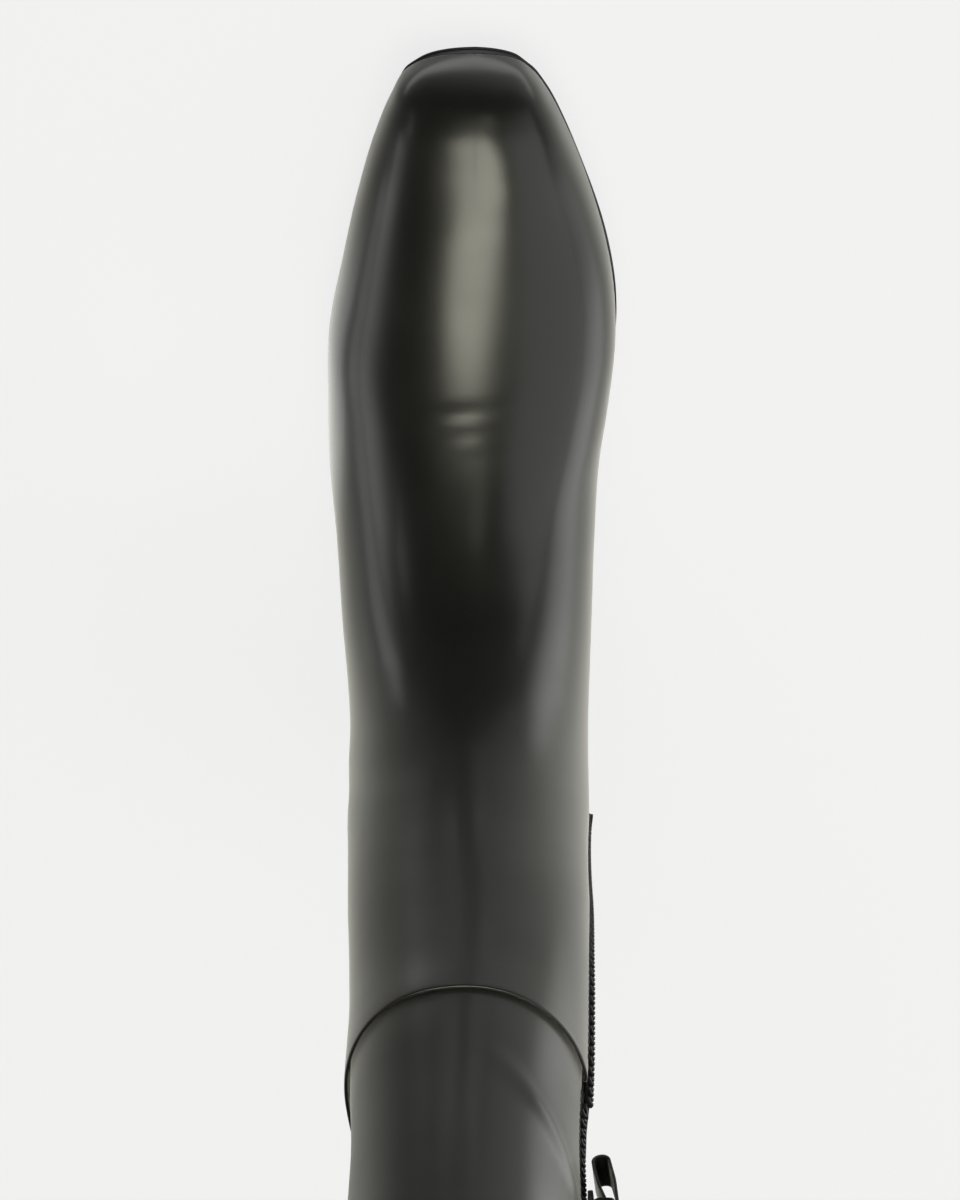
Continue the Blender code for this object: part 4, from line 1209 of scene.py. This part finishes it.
def cap_grid(ring, relief_rule):
    """Points across a ring from its medial to its lateral half, moved up by a rule."""
    half = len(ring) // 2
    rows = []
    for i in range(half):
        share = np.linspace(0.0, 1.0, CAP_COLUMNS + 1)[:, None]
        row = ring[i] + (ring[-1 - i] - ring[i]) * share
        row[:, 2] += relief_rule(row)
        rows.append(row)
    return rows


def flat_cap(row):
    """No relief."""
    return np.zeros(len(row))


def ring_body(name, rings, finish, low_relief=flat_cap):
    """A closed body from rings of equal count, capped below and above."""
    count = len(rings[0])
    points = list(np.concatenate(rings))
    faces = []
    for level in range(len(rings) - 1):
        base = level * count
        for i in range(count):
            j = (i + 1) % count
            faces.append((base + i, base + j, base + count + j, base + count + i))
    for ring, rule in ((rings[0], low_relief), (rings[-1], flat_cap)):
        start = len(points)
        grid = cap_grid(ring, rule)
        points.extend(np.concatenate(grid))
        for r in range(len(grid) - 1):
            for c in range(CAP_COLUMNS):
                first = start + r * (CAP_COLUMNS + 1) + c
                faces.append((first, first + 1, first + CAP_COLUMNS + 2, first + CAP_COLUMNS + 1))
    mesh = solid_mesh(name, to_frame(points), faces, finish)
    mesh.set_sharp_from_angle(angle=CORNER_ANGLE)
    return mesh


print("caps are", CAP_COLUMNS, "strips wide")

# %% [markdown]
# ## Outsole, heel and insole
# The outsole's edge is rounded below, has one slim groove half way up, as a finishing iron leaves it,
# and a small round above. Under the forefoot shallow chevrons are pressed in, inside a plain border.
# The heel is a stack of lifts with a top piece: the joints show as fine lines. The insole is a plain
# pad, seen only from above.

# %% Sole unit
SOLE_THICK = 5.0
SOLE_PICKS = 230
EdgePoint = namedtuple("EdgePoint", "shy rise")
SOLE_PROFILE = [
    EdgePoint(1.2, 0.0), EdgePoint(0.62, 0.14), EdgePoint(0.2, 0.5), EdgePoint(0.0, 1.2), EdgePoint(0.0, 2.1),
    EdgePoint(0.25, 2.25), EdgePoint(0.25, 2.55), EdgePoint(0.0, 2.7), EdgePoint(0.0, 4.4),
    EdgePoint(0.14, 4.82), EdgePoint(0.5, 5.0),
]
TREAD_DEPTH = 0.5
TREAD_PITCH = 6.0
TREAD_SLANT = 0.55
TREAD_BORDER = 7.0
TREAD_EASE = 2.5
Field = namedtuple("Field", "start stop")
FORE_TREAD = Field(26.0, 124.0)
HEEL_TREAD = Field(226.0, 272.0)


def pressed_tread(field):
    """A rule that presses chevrons up into a cap, inside a border."""
    def rule(row):
        middle = (row[0] + row[-1]) / 2.0
        reach = np.linalg.norm(row[0] - row[-1]) / 2.0
        off = np.abs(row[:, 0] - middle[0])
        inside = ease((reach - off - TREAD_BORDER) / TREAD_EASE)
        ends = ease((row[:, 1] - field.start) / TREAD_EASE) * ease((field.stop - row[:, 1]) / TREAD_EASE)
        wave = 0.5 - 0.5 * np.cos(2.0 * math.pi * (row[:, 1] + TREAD_SLANT * off) / TREAD_PITCH)
        return TREAD_DEPTH * inside * ends * wave
    return rule


def make_outsole():
    """The outsole with its grooved edge and forefoot tread."""
    picks = plan_picks(SOLE_PICKS)
    rings = []
    for point in SOLE_PROFILE:
        rings.append(plan_ring(picks, sole_edge(point.shy), lambda at: tread_z(at) + point.rise))
    mesh = ring_body("boot_outsole", rings, RUBBER, pressed_tread(FORE_TREAD))
    return dress("boot_outsole", mesh, "black_rubber", "outsole")


HEEL_HEIGHT = 25.0
FIT_GAP = 0.3
HEEL_PICKS = 90
HEEL_TAPER = 2.0
HEEL_TOP_MARGIN = 0.6
HEEL_FOOT = [EdgePoint(1.0, 0.0), EdgePoint(0.4, 0.22), EdgePoint(0.1, 0.6), EdgePoint(0.0, 1.2)]
LIFT_JOINTS = (6.0, 10.6, 15.2, 19.8)
JOINT_HALF = 0.22
JOINT_DEPTH = 0.26


def heel_profile():
    """Edge points of the heel from the floor up, drawn in at each joint."""
    top = HEEL_HEIGHT - FIT_GAP
    rows = list(HEEL_FOOT)
    for joint in LIFT_JOINTS:
        rows.append(EdgePoint(0.0, joint - JOINT_HALF))
        rows.append(EdgePoint(JOINT_DEPTH, joint))
        rows.append(EdgePoint(0.0, joint + JOINT_HALF))
    rows.append(EdgePoint(0.0, top))
    lean = (HEEL_TAPER - HEEL_TOP_MARGIN) / top
    return [EdgePoint(row.shy + HEEL_TAPER - lean * row.rise, row.rise) for row in rows]


def make_heel():
    """The heel: stacked lifts on a top piece."""
    picks = plan_picks(HEEL_PICKS, BREAST_AT)
    rings = [
        plan_ring(picks, sole_edge(row.shy), lambda at: np.full(len(at), row.rise))
        for row in heel_profile()
    ]
    mesh = ring_body("boot_heel", rings, RUBBER, pressed_tread(HEEL_TREAD))
    return dress("boot_heel", mesh, "black_rubber", "heel_block")


INSOLE_SHY = 3.2
INSOLE_PICKS = 120
INSOLE_PROFILE = [EdgePoint(0.0, 0.0), EdgePoint(0.0, 1.9), EdgePoint(0.2, 2.3), EdgePoint(0.7, 2.5)]


def make_insole():
    """The insole pad inside the boot."""
    picks = plan_picks(INSOLE_PICKS)
    rings = []
    for point in INSOLE_PROFILE:
        edge = even_edge(INSOLE_SHY + point.shy)
        rings.append(plan_ring(picks, edge, lambda at: feather_z(at) + point.rise))
    return dress("boot_insole", ring_body("boot_insole", rings, LINING), "dark_lining", "insole")


sole_unit = [make_outsole(), make_heel(), make_insole()]
print("sole unit:", [triangles(item) for item in sole_unit], "triangles")

# %% [markdown]
# ## Lines along the leather
# Zip teeth and stitches are many copies of one small shape, each turned to the leather where it sits. A
# line is given as rows of station and inset at an offset from the zip; it is walked at an even pitch,
# and at each step a frame is kept: across toward the front, along the line, and outward.

# %% Frames and stamps
Frame = namedtuple("Frame", "place across along out")
PROBE = 1.0


def lower_rows(low, high, step):
    """Rows of station and inset up the lower shaft."""
    return [(station_at(height), lower_inset(height)) for height in spaced(low, high, step)]


def upper_rows(low, high, step):
    """Rows of station and inset up the upper shaft."""
    return [(station_at(height), upper_inset(height)) for height in spaced(low, high, step)]


def unit(rows):
    """Rows scaled to length one."""
    return rows / np.linalg.norm(rows, axis=1)[:, None]


def walk(points, across, pitch):
    """Frames at an even pitch along a line of points."""
    run = running_length(points)
    stops = np.arange(pitch / 2.0, run[-1], pitch)
    place = np.stack([np.interp(stops, run, points[:, axis]) for axis in range(3)], axis=1)
    slopes = np.gradient(points, run, axis=0)
    along = unit(np.stack([np.interp(stops, run, slopes[:, axis]) for axis in range(3)], axis=1))
    side = np.stack([np.interp(stops, run, across[:, axis]) for axis in range(3)], axis=1)
    side = unit(side - along * np.sum(side * along, axis=1)[:, None])
    out = np.cross(side, along)
    return [Frame(*frame) for frame in zip(place, side, along, out)]


def zip_line(rows, offset, pitch):
    """Frames along the zip line, or beside it by an offset toward the back."""
    points = []
    across = []
    for station, inset in rows:
        shares = zip_shares(station, (offset - PROBE, offset, offset + PROBE))
        front, middle, back = inset_row(station, shares, inset)
        points.append(middle)
        across.append(front - back)
    return walk(np.array(points), np.array(across), pitch)


def stamp(name, template, frames, finish):
    """Copies of a template in millimetres, one in each frame, as one mesh."""
    shape, sides = template
    points = []
    faces = []
    for frame in frames:
        start = len(points)
        turned = np.array(frame[1:])
        points.extend(frame.place + shape @ turned)
        faces.extend(tuple(start + index for index in side) for side in sides)
    return solid_mesh(name, to_frame(points), faces, finish)


def rounded_block(outline, low, high, bevel, segments=2):
    """Template of an outline in x and y, given a thickness and rounded edges."""
    work = bmesh.new()
    base = work.faces.new([work.verts.new((x, y, low)) for x, y in outline])
    pushed = bmesh.ops.extrude_face_region(work, geom=[base])["geom"]
    moved = [item for item in pushed if isinstance(item, bmesh.types.BMVert)]
    bmesh.ops.translate(work, verts=moved, vec=(0.0, 0.0, high - low))
    bmesh.ops.bevel(work, geom=work.edges[:], offset=bevel, segments=segments, affect="EDGES", profile=0.5)
    work.verts.index_update()
    shape = np.array([vert.co[:] for vert in work.verts])
    sides = [tuple(vert.index for vert in face.verts) for face in work.faces]
    work.free()
    return shape, sides


slit_walk = zip_line(lower_rows(SLIT_FOOT_Z, VALLEY_Z, PROBE), 0.0, PROBE)
print("a walk up the slit takes", len(slit_walk), "steps of 1 mm")

# %% [markdown]
# ## Zip tapes and teeth
# The tapes lie behind the slit and show only as a dull ground between the teeth. The teeth are moulded
# one by one, left and right in turn: a stem on the tape and a wider head that catches behind the next.
# Each stands highest in the middle of the chain, so the edge of the zip reads as a row of points. The
# lower chain's end stands free past the rim.

# %% Zip
CHAIN_FOOT_Z = 160.5
CHAIN_HEAD_Z = 313.0
CHAIN_PROUD = 1.2
TAPE_FOOT_Z = 153.0
TAPE_HEAD_Z = 319.0
TAPE_WIDE = 22.0
TAPE_THICK = 0.7
TAPE_DEPTH = WALL + FIT_GAP
TAPE_COLUMNS = 15
UNDER_TUCK = 21.0
IN_TUCK = 4.0
OVER_RIM = 5.0
ABOVE_RIM = 6.5
TOOTH_PITCH = 2.2
TOOTH_BACK = -0.8
TOOTH_ROUND = 0.12
TOOTH_CREST = 0.9
TOOTH_OUTLINE = [
    (3.15, -0.42), (3.15, 0.42), (1.2, 0.36), (0.5, 0.50), (0.0, 0.53), (-0.5, 0.50), (-1.0, 0.30),
    (-1.0, -0.30), (-0.5, -0.50), (0.0, -0.53), (0.5, -0.50), (1.2, -0.36),
]
STOP_OUTLINE = [(2.6, -0.9), (2.6, 0.9), (-2.6, 0.9), (-2.6, -0.9)]


def make_tape_piece(name, rows, node):
    """One length of woven tape behind the leather."""
    offsets = np.linspace(-TAPE_WIDE / 2.0, TAPE_WIDE / 2.0, TAPE_COLUMNS)
    grid = [inset_row(station, zip_shares(station, offsets), inset + TAPE_DEPTH) for station, inset in rows]
    faces = []
    for r in range(len(grid) - 1):
        for c in range(TAPE_COLUMNS - 1):
            first = r * TAPE_COLUMNS + c
            faces.append((first, first + TAPE_COLUMNS, first + TAPE_COLUMNS + 1, first + 1))
    item = dress(name, solid_mesh(name, to_frame(np.concatenate(grid)), faces, TAPE), "black_tape", node)
    cloth = item.modifiers.new("cloth", "SOLIDIFY")
    cloth.thickness = TAPE_THICK * MM
    cloth.offset = -1.0
    bake(item)
    return item


def make_teeth(name, rows, node):
    """A chain of teeth, left and right in turn, with a stop at its foot."""
    shape, sides = rounded_block(TOOTH_OUTLINE, TOOTH_BACK, CHAIN_PROUD, TOOTH_ROUND)
    crest = TOOTH_CREST / (TOOTH_CREST + np.abs(shape[:, 0]))
    shape[:, 2] = np.where(shape[:, 2] > 0.0, shape[:, 2] * crest, shape[:, 2])
    mirrored = shape * (-1.0, 1.0, 1.0)
    frames = zip_line(rows, 0.0, TOOTH_PITCH)
    work = bmesh.new()
    stop = rounded_block(STOP_OUTLINE, TOOTH_BACK, CHAIN_PROUD, TOOTH_ROUND)
    sets = ((stop, frames[:1]), ((shape, sides), frames[1::2]), ((mirrored, sides), frames[2::2]))
    for template, chosen in sets:
        work.from_mesh(stamp(name, template, chosen, TEETH))
    mesh = bpy.data.meshes.new(name)
    work.to_mesh(mesh)
    work.free()
    mesh.materials.append(TEETH)
    return dress(name, mesh, "black_teeth", node)


lower_chain = lower_rows(CHAIN_FOOT_Z, RIM_Z + OVER_RIM, PROBE)
upper_chain = upper_rows(RIM_Z + ABOVE_RIM, CHAIN_HEAD_Z, PROBE)
zip_pieces = [
    make_tape_piece("zip_tape_low", lower_rows(TAPE_FOOT_Z, RIM_Z - UNDER_TUCK, ROW_STEP), "zip_tape_lower"),
    make_tape_piece("zip_tape_high", upper_rows(RIM_Z - IN_TUCK, TAPE_HEAD_Z, ROW_STEP), "zip_tape_upper"),
    make_teeth("zip_teeth_low", lower_chain, "zip_chain_lower"),
    make_teeth("zip_teeth_high", upper_chain, "zip_chain_upper"),
]
print("zip:", [triangles(item) for item in zip_pieces], "triangles")

# %% [markdown]
# ## Slider and pull loop
# The slider stands at the top of its run, where the photograph's lower border cuts it. It is a
# shield-shaped plate with a raised bridge and a wire bail. A short strip of the same leather is folded
# through the bail; its cut edges are paler than its face, which is how the photograph shows that it is
# a loop. That paleness is partly the raw edge's own tone and partly a painted highlight along the edge.

# %% Slider frame
SLIDER_Z = 306.0
PLATE_WIDE = 9.0
PLATE_TALL = 13.0
PLATE_THICK = 1.6
PLATE_EDGE = 0.35
PLATE_CORNERS = ((-0.5, 0.5), (0.5, 0.5), (0.5, 0.1), (0.22, -0.5), (-0.22, -0.5), (-0.5, 0.1))
BRIDGE_CORNERS = ((-1.1, 3.6), (1.1, 3.6), (1.1, -0.2), (-1.1, -0.2))
BRIDGE_RISE = 0.5
BAIL_WIRE = 0.9
BAIL_WIDE = 15.0
BAIL_OUT = 7.6
BAIL_DROP = -5.5
BAIL_ROOT_IN = 1.0
BAIL_ROOT_UP = 4.6
BAIL_KNEE_UP = 5.0
BAIL_KNEE_OUT = 1.8
BAIL_CORNER = 0.4
BAIL_CORNER_BACK = 0.5
BAIL_SIDES = 12
SMOOTHINGS = 2
SEAT = CHAIN_PROUD + FIT_GAP


def slider_frame():
    """Frame on the zip line at the slider's height."""
    rows = upper_rows(SLIDER_Z - PROBE, SLIDER_Z + PROBE, PROBE)
    return zip_line(rows, 0.0, 2.0 * PROBE)[0]


def cut_corners(line):
    """A line of points with its corners cut, twice, ends kept."""
    for _ in range(SMOOTHINGS):
        ahead = line[:-1] * 0.75 + line[1:] * 0.25
        behind = line[:-1] * 0.25 + line[1:] * 0.75
        inner = np.stack([ahead, behind], axis=1).reshape(-1, 3)
        line = np.concatenate([line[:1], inner[1:-1], line[-1:]])
    return line


def swept_tube(line, radius):
    """Template of a round wire along a line in the frame's own axes."""
    along = unit(np.gradient(line, axis=0))
    side = unit(np.cross(along, (0.0, 1.0, 0.001)))
    other = np.cross(along, side)
    turns = np.linspace(0.0, 2.0 * math.pi, BAIL_SIDES, endpoint=False)
    shape = []
    for i in range(len(line)):
        shape.extend(line[i] + radius * (math.cos(t) * side[i] + math.sin(t) * other[i]) for t in turns)
    sides = []
    for i in range(len(line) - 1):
        for k in range(BAIL_SIDES):
            m = (k + 1) % BAIL_SIDES
            low = i * BAIL_SIDES
            sides.append((low + k, low + m, low + BAIL_SIDES + m, low + BAIL_SIDES + k))
    last = len(shape) - BAIL_SIDES
    sides.append(tuple(range(BAIL_SIDES)))
    sides.append(tuple(range(last, last + BAIL_SIDES)))
    return np.array(shape), sides


def bail_line():
    """Middle line of the bail, from its root on one side over the bar to the other."""
    half = BAIL_WIDE / 2.0
    root = SEAT + PLATE_THICK / 2.0
    bar = SEAT + BAIL_OUT
    arm = [
        (PLATE_WIDE / 2.0 - BAIL_ROOT_IN, BAIL_ROOT_UP, root),
        (half, BAIL_KNEE_UP, root + BAIL_KNEE_OUT),
        (half, -BAIL_DROP + BAIL_CORNER, bar - BAIL_CORNER_BACK),
        (half - BAIL_CORNER, -BAIL_DROP, bar),
    ]
    other = [(-x, y, z) for x, y, z in reversed(arm)]
    return cut_corners(np.array(arm + other))


def make_slider():
    """The slider: plate, bridge and bail."""
    frame = slider_frame()
    corners = [(x * PLATE_WIDE, y * PLATE_TALL) for x, y in PLATE_CORNERS]
    top = SEAT + PLATE_THICK
    plate = rounded_block(corners, SEAT, top, PLATE_EDGE, 3)
    bridge = rounded_block(BRIDGE_CORNERS, top - BRIDGE_RISE, top + BRIDGE_RISE, PLATE_EDGE, 3)
    work = bmesh.new()
    for template in (plate, bridge, swept_tube(bail_line(), BAIL_WIRE)):
        work.from_mesh(stamp("slider_form", template, [frame], LACQUER))
    mesh = bpy.data.meshes.new("boot_slider")
    work.to_mesh(mesh)
    work.free()
    mesh.materials.append(LACQUER)
    return dress("boot_slider", mesh, "black_slider", "zip_slider")


slider = make_slider()
print("slider:", triangles(slider), "triangles")

# %% [markdown]
# ## The pull loop itself
# The strip's section is a flat rectangle with rounded corners. It is swept round a closed line: down
# from the bail, round the end and back up. Faces on the strip's two broad sides are leather, and those
# on its cut edges get the paler finish.

# %% Pull loop
LOOP_WIDE = 12.0
LOOP_THICK = 0.8
LOOP_LONG = 20.5
LOOP_BELLY = 2.5
LOOP_LEAN = -8.0
LOOP_BELLY_RUN = 0.6
LOOP_STEPS = 20
BIGHT_STEPS = 14
EDGE_ROUND = 0.3
ROUND_STEPS = 4
LEATHER_SLOT = 0
EDGE_SLOT = 1


def loop_line():
    """Middle line of the strip in the frame's y and z, from the bail round the end and back."""
    top = BAIL_WIRE + FIT_GAP + LOOP_THICK / 2.0
    line = []
    for step in range(LOOP_STEPS + 1):
        share = step / LOOP_STEPS
        belly = float(ease(share / LOOP_BELLY_RUN))
        line.append((-share * LOOP_LONG, top + (LOOP_BELLY - top) * belly))
    turns = [math.pi * step / BIGHT_STEPS for step in range(1, BIGHT_STEPS)]
    down = list(line)
    line.extend((-LOOP_LONG - LOOP_BELLY * math.sin(t), LOOP_BELLY * math.cos(t)) for t in turns)
    line.extend((y, -z) for y, z in reversed(down))
    line.extend((top * math.sin(t), -top * math.cos(t)) for t in turns)
    return np.array(line)


def strip_section():
    """Section of the strip, across and through it, and which of its sides are cut edges."""
    across = LOOP_WIDE / 2.0 - EDGE_ROUND
    through = LOOP_THICK / 2.0 - EDGE_ROUND
    points = []
    for quarter, (x, y) in enumerate(((1, 1), (-1, 1), (-1, -1), (1, -1))):
        for step in range(ROUND_STEPS + 1):
            turn = math.pi / 2.0 * (quarter + step / ROUND_STEPS)
            aside = x * across + EDGE_ROUND * math.cos(turn)
            points.append((aside, y * through + EDGE_ROUND * math.sin(turn)))
    return np.array(points)


def make_pull_loop():
    """The folded leather strip through the bail."""
    line = loop_line()
    ahead = np.roll(line, -1, axis=0) - np.roll(line, 1, axis=0)
    ahead /= np.linalg.norm(ahead, axis=1)[:, None]
    out = np.stack([-ahead[:, 1], ahead[:, 0]], axis=1)
    section = strip_section()
    lean = math.radians(LOOP_LEAN)
    shape = []
    for middle, way in zip(line, out):
        for x, through in section:
            y, z = middle + way * through
            swung_y = -BAIL_DROP + y * math.cos(lean) + z * math.sin(lean)
            swung_z = SEAT + BAIL_OUT - y * math.sin(lean) + z * math.cos(lean)
            shape.append((x, swung_y, swung_z))
    count = len(section)
    sides = []
    for i in range(len(line)):
        j = (i + 1) % len(line)
        for k in range(count):
            m = (k + 1) % count
            sides.append((i * count + k, j * count + k, j * count + m, i * count + m))
    mesh = stamp("boot_pull_loop", (np.array(shape), sides), [slider_frame()], LEATHER)
    mesh.materials.append(LEATHER_EDGE)
    frame = slider_frame()
    reach = LOOP_WIDE / 2.0 - EDGE_ROUND
    middle_point = to_frame(frame.place)
    # The paler edge finish on the strip's cut edges is partly their own tone and partly a painted highlight
    # along them.
    for face in mesh.polygons:
        off = abs(np.dot(np.array(face.center) - middle_point, frame.across)) / MM
        face.material_index = EDGE_SLOT if off > reach else LEATHER_SLOT
    return dress("boot_pull_loop", mesh, "black_leather", "pull_loop")


pull_loop = make_pull_loop()
print("pull loop:", triangles(pull_loop), "triangles")

# %% [markdown]
# ## Stitches
# A row of stitches holds each edge of the leather to the zip tape, and one more holds the turned
# collar. Each stitch is a short thread with rounded ends, half sunk in the leather.

# %% Stitches
STITCH_LONG = 2.5
STITCH_THICK = 0.27
STITCH_PITCH = 3.1
STITCH_SIDES = 8
STITCH_FROM_EDGE = 2.4
STITCH_RISE = 0.08
COLLAR_STITCH_DOWN = 4.0
ABOVE_TUCK = 5.0
STITCH_BEADS = ((-0.5, 0.12), (-0.42, 0.7), (-0.25, 1.0), (0.0, 1.06), (0.25, 1.0), (0.42, 0.7), (0.5, 0.12))


def stitch_template():
    """A short thread along y with rounded ends."""
    turns = np.linspace(0.0, 2.0 * math.pi, STITCH_SIDES, endpoint=False)
    shape = []
    for share, swell in STITCH_BEADS:
        radius = STITCH_THICK * swell
        shape.extend(
            (radius * math.cos(t), share * STITCH_LONG, STITCH_RISE + radius * math.sin(t))
            for t in turns
        )
    sides = []
    for i in range(len(STITCH_BEADS) - 1):
        for k in range(STITCH_SIDES):
            m = (k + 1) % STITCH_SIDES
            low = i * STITCH_SIDES
            sides.append((low + k, low + m, low + STITCH_SIDES + m, low + STITCH_SIDES + k))
    last = len(shape) - STITCH_SIDES
    sides.append(tuple(range(STITCH_SIDES)))
    sides.append(tuple(range(last, last + STITCH_SIDES)))
    return np.array(shape), sides


def collar_frames():
    """Frames round the shaft, a little below the collar."""
    station = station_at(COLLAR_Z - COLLAR_STITCH_DOWN)
    inset = upper_inset(COLLAR_Z - COLLAR_STITCH_DOWN)
    shares = np.linspace(-1.0, 1.0, 2 * FRONT_COLUMNS + 2 * BACK_COLUMNS)
    points = inset_row(station, shares, inset)
    out = skin_normal(station, shares)
    along = np.gradient(points, axis=0)
    return walk(points, np.cross(along, out), STITCH_PITCH)


def make_stitches():
    """Stitch rows along both edges of the slit and round the collar."""
    beside = SLIT_WIDE / 2.0 + STITCH_FROM_EDGE
    low = lower_rows(SLIT_FOOT_Z, RIM_Z - ABOVE_TUCK, PROBE)
    high = upper_rows(RIM_Z + ABOVE_TUCK, SLIT_HEAD_Z, PROBE)
    frames = []
    for offset in (-beside, beside):
        frames.extend(zip_line(low, offset, STITCH_PITCH))
        frames.extend(zip_line(high, offset, STITCH_PITCH))
    frames.extend(collar_frames())
    mesh = stamp("boot_stitches", stitch_template(), frames, THREAD)
    return dress("boot_stitches", mesh, "black_tape"), len(frames)


stitches, stitch_count = make_stitches()
print(stitch_count, "stitches,", triangles(stitches), "triangles")
